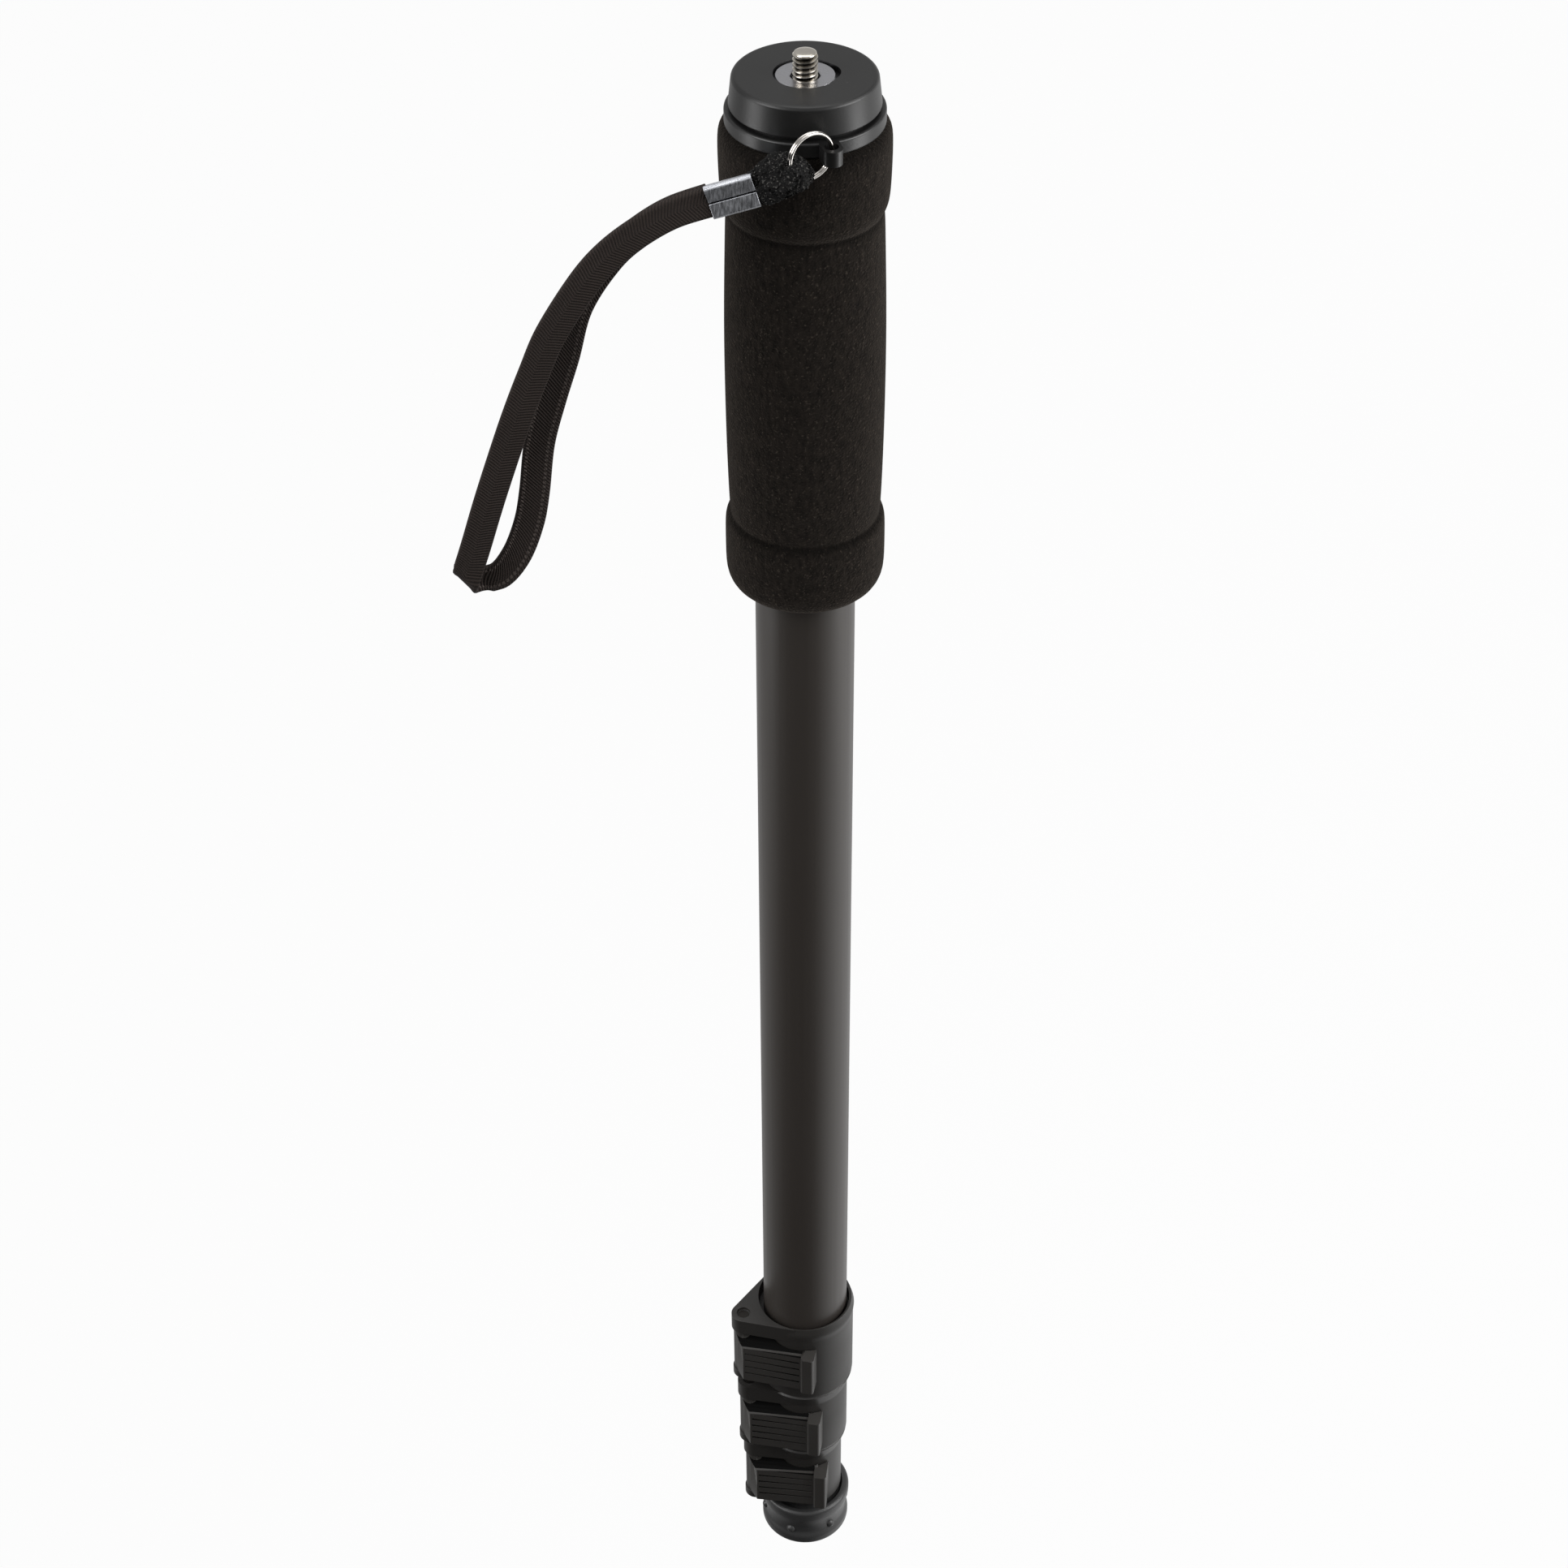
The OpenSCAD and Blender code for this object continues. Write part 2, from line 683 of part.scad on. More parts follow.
module foot_wheel() {
    rim = 1.4;
    sole_rim = 2;
    waist = waist_d / 2;
    waist_share = 0.6;
    waist_z = foot_top_z - waist_share * foot_h;
    high = foot_top_z - 2 * rim;
    low = foot_end_z + sole_rim + rim;
    lip_r = foot_r - lip_step;
    color([0.22, 0.22, 0.23])
        difference() {
            union() {
                rotate_extrude($fn = 96)
                    polygon(concat(
                        [[0, foot_end_z], [0, foot_top_z - dish_depth],
                         [dish_r - dish_slope, foot_top_z - dish_depth], [dish_r, foot_top_z]],
                        arc([foot_r - rim, foot_top_z - rim], rim, 90, 0, 5),
                        blend([foot_r, high], [waist, waist_z + waist_flat], 6),
                        blend([waist, waist_z - waist_flat], [lip_r, low], 6),
                        arc([lip_r - sole_rim, foot_end_z + sole_rim], sole_rim, 0, -90, 5)));
                for (n = [0 : nub_count - 1])
                    rotate(nub_angle + n * 360 / nub_count)
                        translate([waist - nub_sink, 0, waist_z])
                            sphere(d = nub_d, $fn = 24);
            }
            translate([0, 0, nut_z - nut_h - fit_gap])
                cylinder(r = nut_r + fit_gap, h = nut_h + 2 * over + dish_depth, $fn = 6);
            drill(spike_d / 2 + run_gap, nut_z, foot_end_z - over);
        }
}

// Split ring, woven tie, ferrule and strap

module split_ring() {
    color([0.8, 0.8, 0.8])
        translate(ring_at)
            rotate([90, 0, ring_turn])
                rotate_extrude()
                    for (side = [-1, 1])
                        translate([ring_r, side * ring_wire * coil_share])
                            circle(d = ring_wire, $fn = 24);
}

// Places its children at the ferrule's middle, with X along it towards the ring
module at_ferrule() {
    translate(strap_at + ferrule_at)
        rotate([0, -ferrule_slope, 0])
            children();
}

// A flat bar along X with rounded corners
module flat_bar(l, w, t, corner) {
    rotate([90, 0, 90])
        translate([0, 0, -l / 2])
            linear_extrude(l)
                union() {
                    square([t, w - 2 * corner], center = true);
                    square([t - 2 * corner, w], center = true);
                    for (x = [-1, 1], y = [-1, 1])
                        translate([x * (t / 2 - corner), y * (w / 2 - corner)])
                            circle(r = corner, $fn = 16);
                }
}

module strap_ferrule() {
    seam = 0.5;
    color([0.85, 0.85, 0.87])
        at_ferrule()
            difference() {
                flat_bar(ferrule_l, ferrule_in_w + 2 * ferrule_t, ferrule_in_t + 2 * ferrule_t,
                    ferrule_corner + ferrule_t);
                flat_bar(ferrule_l + 2 * over, ferrule_in_w, ferrule_in_t, ferrule_corner);
                translate([0, -ferrule_in_t / 2 - ferrule_t, 0])
                    cube([ferrule_l + 2 * over, 2 * ferrule_t, seam], center = true);
            }
}

// Woven tape that fills the ferrule and loops through the ring
module strap_tie() {
    wire_turn = 218;
    loop_lean = 40;
    loop_spread = 0.8;
    loop_w = strap_w + loop_spread;
    loop_in = [0.8, 0, 0.4];
    wire_at = [ring_r * cos(wire_turn) * cos(ring_turn), ring_r * cos(wire_turn) * sin(ring_turn),
               ring_r * sin(wire_turn)];
    loop_t = ferrule_in_t - ferrule_t;
    color([0.12, 0.1, 0.1]) {
        at_ferrule()
            flat_bar(ferrule_l, ferrule_in_w - 2 * fit_gap, ferrule_in_t - 2 * fit_gap, ferrule_corner);
        hull() {
            at_ferrule()
                translate([ferrule_l / 2, 0, 0])
                    flat_bar(over, strap_w, loop_t, ferrule_corner);
            translate(ring_at + wire_at + loop_in)
                rotate([0, loop_lean, ring_turn])
                    cylinder(d = loop_t, h = loop_w, center = true, $fn = 16);
        }
    }
}

// Flat strap swept along its route: positions and turns run through the points on one smooth curve
function smooth(a, b, c, d, t) =
    0.5 * (2 * b + (c - a) * t + (2 * a - 5 * b + 4 * c - d) * t * t
        + (3 * b - a - 3 * c + d) * t * t * t);
function unit(v) = v / norm(v);

module wrist_strap() {
    steps = 2;
    last = len(strap_route) - 1;
    spots = concat(
        [for (n = [0 : last - 1], k = [0 : steps - 1])
            smooth(strap_route[max(n - 1, 0)], strap_route[n], strap_route[n + 1],
                strap_route[min(n + 2, last)], k / steps)],
        [strap_route[last]]);
    count = len(spots);
    half_w = strap_w / 2;
    half_t = strap_t / 2;
    section = [[half_w, -half_t / 2], [half_w, half_t / 2], [half_w - half_t, half_t],
               [half_t - half_w, half_t], [-half_w, half_t / 2], [-half_w, -half_t / 2],
               [half_t - half_w, -half_t], [half_w - half_t, -half_t]];
    sides = len(section);
    points = [for (n = [0 : count - 1])
        let (here = [spots[n].x, spots[n].y, spots[n].z])
        let (next = spots[min(n + 1, count - 1)])
        let (prior = spots[max(n - 1, 0)])
        let (along = unit([next.x - prior.x, next.y - prior.y, next.z - prior.z]))
        let (lean = [cos(spots[n][3]), 0, sin(spots[n][3])])
        let (wide = unit(lean - (lean * along) * along))
        let (thick = cross(along, wide))
        for (p = section) strap_at + here + p.x * wide + p.y * thick];
    sides_faces = [for (n = [0 : count - 2], k = [0 : sides - 1], half = [0, 1])
        let (here = n * sides + k, beside = n * sides + (k + 1) % sides)
        half == 0 ? [here, beside, beside + sides] : [here, beside + sides, here + sides]];
    start_face = [[for (k = [0 : sides - 1]) sides - 1 - k]];
    end_face = [[for (k = [0 : sides - 1]) (count - 1) * sides + k]];
    color([0.13, 0.11, 0.11])
        polyhedron(points, concat(start_face, sides_faces, end_face));
}

camera_platform();
stud_washer();
camera_stud();
head_plug();
plug_pins();
strap_collar();
foam_grip();
tube(1, tube_top_z(1), tube_end_z(1));  // upper_tube
tube(2, tube_top_z(2) - bush_lip, tube_end_z(2));  // second_tube
tube(3, tube_top_z(3) - bush_lip, tube_end_z(3));  // third_tube
tube(4, tube_top_z(4) - bush_lip, cap_z);  // lower_tube
guide_bush(2);  // guide_bush_2
guide_bush(3);  // guide_bush_3
guide_bush(4);  // guide_bush_4
clamp_collar(1);  // clamp_collar_1
clamp_collar(2);  // clamp_collar_2
clamp_collar(3);  // clamp_collar_3
clamp_lever(1);  // clamp_lever_1
clamp_lever(2);  // clamp_lever_2
clamp_lever(3);  // clamp_lever_3
lever_pin(1);  // lever_pin_1
lever_pin(2);  // lever_pin_2
lever_pin(3);  // lever_pin_3
brake_shoe(1);  // brake_shoe_1
brake_shoe(2);  // brake_shoe_2
brake_shoe(3);  // brake_shoe_3
foot_plug();
foot_spike();
foot_nut();
foot_wheel();
split_ring();
strap_tie();
strap_ferrule();
wrist_strap();
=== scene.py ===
import json
import math

import bmesh
import bpy
from mathutils import Matrix, Vector, noise

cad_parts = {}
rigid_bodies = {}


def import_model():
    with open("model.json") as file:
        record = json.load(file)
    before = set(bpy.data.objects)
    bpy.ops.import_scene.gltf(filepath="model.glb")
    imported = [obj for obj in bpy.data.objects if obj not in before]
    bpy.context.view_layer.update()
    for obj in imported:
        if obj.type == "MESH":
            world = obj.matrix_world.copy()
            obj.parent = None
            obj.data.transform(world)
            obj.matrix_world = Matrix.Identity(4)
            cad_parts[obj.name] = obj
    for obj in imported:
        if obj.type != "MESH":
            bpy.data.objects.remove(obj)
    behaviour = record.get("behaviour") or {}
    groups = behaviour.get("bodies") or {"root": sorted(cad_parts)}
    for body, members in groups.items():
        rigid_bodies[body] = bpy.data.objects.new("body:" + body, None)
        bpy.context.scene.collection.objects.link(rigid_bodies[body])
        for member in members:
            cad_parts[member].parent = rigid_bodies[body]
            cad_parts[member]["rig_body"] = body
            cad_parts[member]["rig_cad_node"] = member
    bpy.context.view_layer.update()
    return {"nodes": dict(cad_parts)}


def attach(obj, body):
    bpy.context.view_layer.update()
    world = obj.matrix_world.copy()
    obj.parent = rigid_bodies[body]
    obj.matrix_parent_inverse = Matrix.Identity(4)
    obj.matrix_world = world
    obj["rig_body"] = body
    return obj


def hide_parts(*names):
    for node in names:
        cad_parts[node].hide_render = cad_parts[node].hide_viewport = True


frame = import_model()
nodes = frame["nodes"]
mm = 0.001
head = "upper_section"


# Camera

shot = {"place": (0, -0.7216, 0.3656), "tilt": 50.7, "sensor": 36, "lens": 74.05,
        "shift": -0.0135, "near": 0.01}

bpy.ops.object.select_all(action="DESELECT")
bpy.ops.object.camera_add(location=shot["place"], rotation=(math.radians(shot["tilt"]), 0, 0))
camera = bpy.context.object
camera.name = "shotCamera"
camera.data.sensor_width = shot["sensor"]
camera.data.lens = shot["lens"]
camera.data.shift_x = shot["shift"]
camera.data.clip_start = shot["near"]
bpy.context.scene.camera = camera
bpy.context.scene.view_settings.view_transform = "Standard"
print("camera placed")


# Shader helpers

noiseSpan = (0.3, 0.7)  # where most of a noise's values lie


class Wire:  # one socket; sums written on it add Math nodes
    def __init__(self, socket):
        self.socket = socket

    def sum(self, operation, *terms):
        tree = self.socket.id_data
        made = tree.nodes.new("ShaderNodeMath")
        made.operation = operation
        for slot, term in zip(made.inputs, terms):
            if isinstance(term, Wire):
                tree.links.new(term.socket, slot)
            else:
                slot.default_value = term
        return Wire(made.outputs[0])

    def __add__(self, other):
        return self.sum("ADD", self, other)

    def __sub__(self, other):
        return self.sum("SUBTRACT", self, other)

    def __rsub__(self, other):
        return self.sum("SUBTRACT", other, self)

    def __mul__(self, other):
        return self.sum("MULTIPLY", self, other)

    def __truediv__(self, other):
        return self.sum("DIVIDE", self, other)

    def __gt__(self, other):
        return self.sum("GREATER_THAN", self, other)

    def __lt__(self, other):
        return self.sum("LESS_THAN", self, other)

    __radd__ = __add__
    __rmul__ = __mul__

    def sine(self):
        return self.sum("SINE", self)

    def size(self):
        return self.sum("ABSOLUTE", self)


class Finish:  # a material and its nodes
    def __init__(self, name, **constants):
        self.material = bpy.data.materials.new(name)
        self.material.use_nodes = True
        self.tree = self.material.node_tree
        self.shader = self.tree.nodes["Principled BSDF"]
        for socketName, value in constants.items():
            self.shader.inputs[socketName.replace("_", " ")].default_value = value

    def node(self, kind, settings=None, sockets=None, output=0):
        made = self.tree.nodes.new("ShaderNode" + kind)
        for key, value in (settings or {}).items():
            if key == "stops":
                ramp = made.color_ramp.elements
                while len(ramp) < len(value):
                    ramp.new(0.5)
                for stop, (place, colour) in zip(ramp, value):
                    stop.position = place
                    stop.color = colour
            else:
                setattr(made, key, value)
        for key, value in (sockets or {}).items():
            if isinstance(value, Wire):
                self.tree.links.new(value.socket, made.inputs[key])
            else:
                made.inputs[key].default_value = value
        return Wire(made.outputs[output])

    def feed(self, socketName, wire):
        self.tree.links.new(wire.socket, self.shader.inputs[socketName])

    def place(self, stretch=(1, 1, 1)):  # Object coordinates, stretched
        coords = self.node("TexCoord", output="Object")
        return self.node("Mapping", None, {"Vector": coords, "Scale": stretch})

    def part(self, vector, axis):  # one of a vector's three numbers
        return self.node("SeparateXYZ", None, {"Vector": vector}, axis)

    def fromAxis(self, spot):  # distance from the upright axis
        flat = self.node("VectorMath", {"operation": "MULTIPLY"}, {0: spot, 1: (1, 1, 0)})
        return self.node("VectorMath", {"operation": "LENGTH"}, {0: flat}, "Value")

    def speckle(self, where, scale, detail=2.0):
        return self.node("TexNoise", None, {"Vector": where, "Scale": scale, "Detail": detail})

    def cells(self, where, scale):
        return self.node("TexVoronoi", None, {"Vector": where, "Scale": scale})

    def peaks(self, wire, low, high):  # the highest spots of a noise
        return self.node("ValToRGB", {"stops": [(low, grey(0)), (high, grey(1))]}, {"Fac": wire})

    def mixed(self, amount, first, second):  # a blend of two colours
        return self.node("Mix", {"data_type": "RGBA"}, {0: amount, 6: first, 7: second}, 2)

    def ranged(self, wire, source, target):
        return self.node("MapRange", None, {"Value": wire, "From Min": source[0],
                                            "From Max": source[1], "To Min": target[0],
                                            "To Max": target[1]})

    def between(self, wire, low, high):  # a noise spread over a range
        return self.ranged(wire, noiseSpan, (low, high))

    def relief(self, height, strength, depth):
        self.feed("Normal", self.node("Bump", None, {"Height": height, "Strength": strength,
                                                     "Distance": depth * mm}))


def grey(level, warm=0.0):
    return (level * (1 + warm), level, level * (1 - warm), 1)


# Finishes; a bump is its strength and its depth in millimetres

mouldedLook = {"grainDetail": 3.0, "mottle": 45.0, "uneven": 0.05, "grainRough": 0.06,
               "dustCells": 420.0, "dustSize": 0.045, "dustPatch": 130.0, "dustRare": 0.62,
               "dustGrey": 0.12, "bump": (0.25, 0.05)}


def moulded(name, dark, light, rough, grain, warm=0.0, level=0.35):  # grain and a little dust
    look = mouldedLook
    made = Finish(name, Specular_IOR_Level=level)
    where = made.place()
    fine = made.speckle(where, grain, look["grainDetail"])
    broad = made.speckle(where, look["mottle"])
    patch = made.speckle(where, look["dustPatch"]) > look["dustRare"]
    dust = (made.cells(where, look["dustCells"]) < look["dustSize"]) * patch
    tone = made.mixed(broad, grey(dark, warm), grey(light, warm))
    made.feed("Base Color", made.mixed(dust, tone, grey(look["dustGrey"], warm)))
    uneven = made.between(broad, rough - look["uneven"], rough + look["uneven"])
    made.feed("Roughness", uneven + fine * look["grainRough"])
    made.relief(fine, *look["bump"])
    return made


metalLook = {"detail": 4.0, "cloud": 160.0, "wear": (0.86, 0.85, 0.83), "rough": (0.75, 1.35),
             "bump": (0.15, 0.02)}


def polished(name, colour, rough, stretch=(1, 1, 1), grain=900.0, warm=0.94):
    look = metalLook
    made = Finish(name, Metallic=1.0)
    streaks = made.speckle(made.place(stretch), grain, look["detail"])
    cloud = made.speckle(made.place(), look["cloud"])
    red, green, blue = look["wear"]
    worn = tuple(c * f for c, f in zip(colour, (red, green * warm, blue * warm))) + (1,)
    made.feed("Base Color", made.mixed(cloud, colour + (1,), worn))
    made.feed("Roughness", made.between(streaks, *(rough * share for share in look["rough"])))
    made.relief(streaks, *look["bump"])
    return made


headPlastic = moulded("headPlastic", dark=0.0060, light=0.0090, rough=0.36, grain=2600.0,
                      warm=0.02, level=0.5)
clampPlastic = moulded("clampPlastic", dark=0.0175, light=0.0235, rough=0.40, grain=3200.0,
                       warm=0.08, level=0.5)
# The levers' plastic is a little rougher than the collars', and its lighter colour is painted
# light.
paintedLightLeverPlastic = moulded("paintedLightLeverPlastic", dark=0.0265, light=0.0325, rough=0.42, grain=3200.0,
                       warm=0.08, level=0.5)
# A dark copy of the clamp plastic: painted shade in the levers' hollows and grooves.
paintedShadePlastic = moulded("paintedShadePlastic", dark=0.0015, light=0.0030, rough=0.70, grain=2600.0,
                        warm=0.05, level=0.06)
innerPlastic = moulded("innerPlastic", dark=0.0100, light=0.0160, rough=0.55, grain=1800.0)
footRubber = moulded("footRubber", dark=0.0260, light=0.0340, rough=0.36, grain=2200.0, level=0.6)
ringSteel = polished("ringSteel", (0.70, 0.69, 0.66), rough=0.14, grain=300.0)
pinSteel = polished("pinSteel", (0.045, 0.043, 0.040), rough=0.40, stretch=(1, 1, 8))
shoeBrass = polished("shoeBrass", (0.78, 0.58, 0.25), rough=0.30)
ferruleSheet = polished("ferruleSheet", (0.68, 0.70, 0.75), rough=0.41, stretch=(6, 1, 1),
                        grain=420.0, warm=1.0)

washerLook = {"ring": 0.22, "cloud": 260.0, "bright": (0.60, 0.60, 0.62, 1),
              "dull": (0.45, 0.45, 0.48, 1), "rough": (0.20, 0.32), "ringRough": 0.03,
              "bump": (0.12, 0.01)}


def turnedSteel():  # washer with fine rings from the lathe
    look = washerLook
    made = Finish("turnedSteel", Metallic=1.0)
    spot = made.place()
    rings = (made.fromAxis(spot) * (math.tau / (look["ring"] * mm))).sine()
    cloud = made.speckle(spot, look["cloud"])
    made.feed("Base Color", made.mixed(cloud, look["bright"], look["dull"]))
    made.feed("Roughness", made.between(cloud, *look["rough"]) + rings * look["ringRough"])
    made.relief(rings, *look["bump"])
    return made


# The dull colour is painted shade in the roots of the thread.
threadLook = {"root": 2.45, "crest": 3.0, "tip": 5.2, "cloud": 700.0,
              "dull": (0.07, 0.062, 0.052, 1), "bright": (0.70, 0.66, 0.59, 1),
              "rough": (0.16, 0.26), "bump": (0.10, 0.02)}


def threadNickel():  # bright crests and tip, painted shade in the roots
    look = threadLook
    made = Finish("threadNickel", Metallic=1.0)
    spot = made.place()
    # Below the crests the colour goes dark: painted shade in the roots
    high = made.ranged(made.fromAxis(spot), (look["root"] * mm, look["crest"] * mm), (0.0, 1.0))
    tipward = made.part(spot, "Z") > look["tip"] * mm
    shown = made.node("Math", {"operation": "MAXIMUM"}, {0: high, 1: tipward})
    cloud = made.speckle(spot, look["cloud"])
    made.feed("Base Color", made.mixed(shown, look["dull"], look["bright"]))
    made.feed("Roughness", made.between(cloud, *look["rough"]))
    made.relief(cloud, *look["bump"])
    return made


tubeLook = {"drawn": (900, 900, 9), "drawnDetail": 4.0, "grain": 2400.0, "grainDetail": 3.0,
            "mottle": 40.0, "mottleStretch": (1, 1, 0.3), "dark": (0.0340, 0.0290, 0.0255, 1),
            "light": (0.0400, 0.0345, 0.0305, 1), "rough": (0.33, 0.40), "grainRough": 0.05,
            "drawnShare": 0.5, "bump": (0.12, 0.02)}


def anodisedTube():  # satin black, drawn along its length
    look = tubeLook
    made = Finish("anodisedTube", Specular_IOR_Level=0.5)
    drawn = made.speckle(made.place(look["drawn"]), 1.0, look["drawnDetail"])
    fine = made.speckle(made.place(), look["grain"], look["grainDetail"])
    broad = made.speckle(made.place(look["mottleStretch"]), look["mottle"])
    made.feed("Base Color", made.mixed(broad, look["dark"], look["light"]))
    made.feed("Roughness", made.between(drawn, *look["rough"]) + fine * look["grainRough"])
    made.relief(drawn * look["drawnShare"] + fine, *look["bump"])
    return made


# The folds are the height, reach and depth of painted shade under the strap collar
# and in the grip's two waists.
foamLook = {"folds": ((-13.2, 5.0, 0.7), (-36.9, 1.7, 0.75), (-128.5, 1.7, 0.75)),
            "cells": 1500.0, "grain": 1500.0, "grainDetail": 3.0, "nap": 800.0,
            "napDetail": 4.0, "napStretch": (1, 1, 0.45), "peaks": (0.60, 0.70),
            "dark": (0.0028, 0.0023, 0.0019, 1), "light": (0.0135, 0.0108, 0.0088, 1),
            "fleck": (0.040, 0.033, 0.027, 1), "paintedShade": (0.0012, 0.0010, 0.0008, 1),
            "sheen": (1.0, 0.86, 0.74, 1), "rough": (0.84, 0.97), "pits": 0.6,
            "bump": (0.9, 0.30)}


def gripFoam():  # closed-cell foam: fine pits and lighter flecks, with painted shade in the waists and under the strap collar
    look = foamLook
    made = Finish("gripFoam", Specular_IOR_Level=0.06, Sheen_Weight=0.09, Sheen_Tint=look["sheen"])
    where = made.place()
    height = made.part(where, "Z")
    # Painted shade: the colour darkens near the collar's rim and in the two waists
    rim, upper, lower = [made.ranged((height - level * mm).size(), (0.0, reach * mm), (depth, 0.0))
                         for level, reach, depth in look["folds"]]
    fine = made.speckle(where, look["grain"], look["grainDetail"])
    streaks = made.speckle(made.place(look["napStretch"]), look["nap"], look["napDetail"])
    tone = made.mixed(made.between(streaks, 0.0, 1.0), look["dark"], look["light"])
    flecked = made.mixed(made.peaks(fine, *look["peaks"]), tone, look["fleck"])
    made.feed("Base Color", made.mixed(rim + upper + lower, flecked, look["paintedShade"]))
    made.feed("Roughness", made.between(fine, *look["rough"]))
    made.relief(fine - made.cells(where, look["cells"]) * look["pits"], *look["bump"])
    return made


# Across the strap the UV map runs 0 to 1 over the outer face and 1 to 2 over the inner one,
# and along it in millimetres.
braid = {"middle": 0.5, "rib": 0.85, "slant": 5.0, "twill": 0.95, "twillSlant": 7.0,
         "seams": (1.16, 1.78), "seamHalf": 0.05, "stitch": 1.35, "stitchGap": -0.2,
         "contrast": 0.25, "dark": (0.0100, 0.0076, 0.0066, 1),
         "light": (0.0360, 0.0262, 0.0226, 1), "fuzz": 2600.0, "fuzzDetail": 3.0,
         "fuzzShare": 0.5, "fleck": (0.034, 0.026, 0.0225, 1), "threadShare": 0.8,
         "thread": (0.095, 0.078, 0.070, 1), "rough": (0.70, 0.86),
         "heights": (0.5, 1.4, 0.5), "bump": (0.9, 0.20)}


def strapBraid():  # plaited outer face, twilled inner face with two rows of stitches
    made = Finish("strapBraid", Specular_IOR_Level=0.2)
    across, along = [made.part(made.node("TexCoord", output="UV"), axis) for axis in "XY"]
    inner = across > 1.0
    chevron = (across - braid["middle"]).size() * braid["slant"]
    plait = ((along / braid["rib"] + chevron) * math.tau).sine()
    twill = ((along / braid["twill"] + across * braid["twillSlant"]) * math.tau).sine()
    weave = plait * (1 - inner) + twill * inner
    first, second = [(across - line).size() < braid["seamHalf"] for line in braid["seams"]]
    shown = (along * (math.tau / braid["stitch"])).sine() > braid["stitchGap"]
    dash = shown * (first + second)
    fuzz = made.speckle(made.place(), braid["fuzz"], braid["fuzzDetail"])
    raised = made.between(weave * braid["contrast"] + 0.5, 0.0, 1.0)
    tone = made.mixed(raised, braid["dark"], braid["light"])
    flecked = made.mixed(fuzz * braid["fuzzShare"], tone, braid["fleck"])
    made.feed("Base Color", made.mixed(dash * braid["threadShare"], flecked, braid["thread"]))
    made.feed("Roughness", made.between(fuzz, *braid["rough"]))
    ribs, stitches, hairs = braid["heights"]
    made.relief(weave * ribs + dash * stitches + fuzz * hairs, *braid["bump"])
    return made


# The glint colour is painted glints on the tape's fibres.
tapeLook = {"folds": 700.0, "fuzz": 1900.0, "detail": 3.0, "peaks": (0.57, 0.68),
            "dark": (0.0016, 0.0016, 0.0017, 1), "light": (0.0080, 0.0078, 0.0076, 1),
            "paintedGlint": (0.110, 0.106, 0.100, 1), "rough": (0.60, 0.90), "foldHeight": 1.5,
            "bump": (1.0, 0.40)}


def tieWeave():  # crumpled tape with painted glints
    look = tapeLook
    made = Finish("tieWeave", Specular_IOR_Level=0.16)
    spot = made.place()
    folds = made.speckle(spot, look["folds"], look["detail"])
    fuzz = made.speckle(spot, look["fuzz"], look["detail"])
    tone = made.mixed(made.between(folds, 0.0, 1.0), look["dark"], look["light"])
    made.feed("Base Color", made.mixed(made.peaks(fuzz, *look["peaks"]), tone, look["paintedGlint"]))
    made.feed("Roughness", made.between(fuzz, *look["rough"]))
    made.relief(folds * look["foldHeight"] + fuzz, *look["bump"])
    return made


washerSteel = turnedSteel()
studNickel = threadNickel()
tubeBlack = anodisedTube()
foamBlack = gripFoam()
strapCord = strapBraid()
tieTape = tieWeave()
print("finishes made")


# Modelling helpers; all sizes in millimetres

mergeGap = 0.002
copyPlan = {"merge": 0.003, "flat": 0.5, "sharp": 32, "segments": 2}


def onlyThis(piece):
    bpy.ops.object.select_all(action="DESELECT")
    piece.select_set(True)
    bpy.context.view_layer.objects.active = piece


def pick(kind, test):  # picks vertices, edges or faces by place or normal, in edit mode
    bpy.ops.mesh.select_mode(type=kind)
    mesh = bmesh.from_edit_mesh(bpy.context.object.data)
    for part in {"VERT": mesh.verts, "EDGE": mesh.edges, "FACE": mesh.faces}[kind]:
        part.select_set(bool(test(part)))
    mesh.select_flush_mode()
    bmesh.update_edit_mesh(bpy.context.object.data)


def profileLine(name, points):  # one vertex, extruded along a profile of (radius, height)
    bpy.ops.object.select_all(action="DESELECT")
    bpy.ops.mesh.primitive_plane_add(size=mm)
    piece = bpy.context.object
    piece.name = name
    bpy.ops.object.mode_set(mode="EDIT")
    bpy.ops.mesh.select_mode(type="VERT")
    bpy.ops.mesh.select_all(action="SELECT")
    bpy.ops.mesh.merge(type="CENTER")
    here = Vector((0, 0, 0))
    for n, (radius, height) in enumerate(points):
        step = Vector((radius * mm, 0, height * mm)) - here
        if n == 0:
            bpy.ops.transform.translate(value=step)
        else:
            bpy.ops.mesh.extrude_vertices_move(TRANSFORM_OT_translate={"value": step})
        here += step
    return piece


def closeUp():  # merges doubles, turns faces outwards and leaves edit mode
    bpy.ops.mesh.select_all(action="SELECT")
    bpy.ops.mesh.remove_doubles(threshold=mergeGap * mm)
    bpy.ops.mesh.normals_make_consistent(inside=False)
    bpy.ops.object.mode_set(mode="OBJECT")


def turned(name, points, steps):  # a profile spun round the upright axis
    piece = profileLine(name, points)
    bpy.ops.mesh.select_all(action="SELECT")
    bpy.ops.mesh.spin(steps=steps, angle=math.tau, center=(0, 0, 0), axis=(0, 0, 1))
    closeUp()
    return piece


def smooth(piece, angle):
    onlyThis(piece)
    bpy.ops.object.shade_smooth_by_angle(angle=math.radians(angle))


def applied(piece, kind, **settings):
    onlyThis(piece)
    made = piece.modifiers.new(kind.lower(), kind)
    for key, value in settings.items():
        setattr(made, key, value)
    bpy.ops.object.modifier_apply(modifier=made.name)


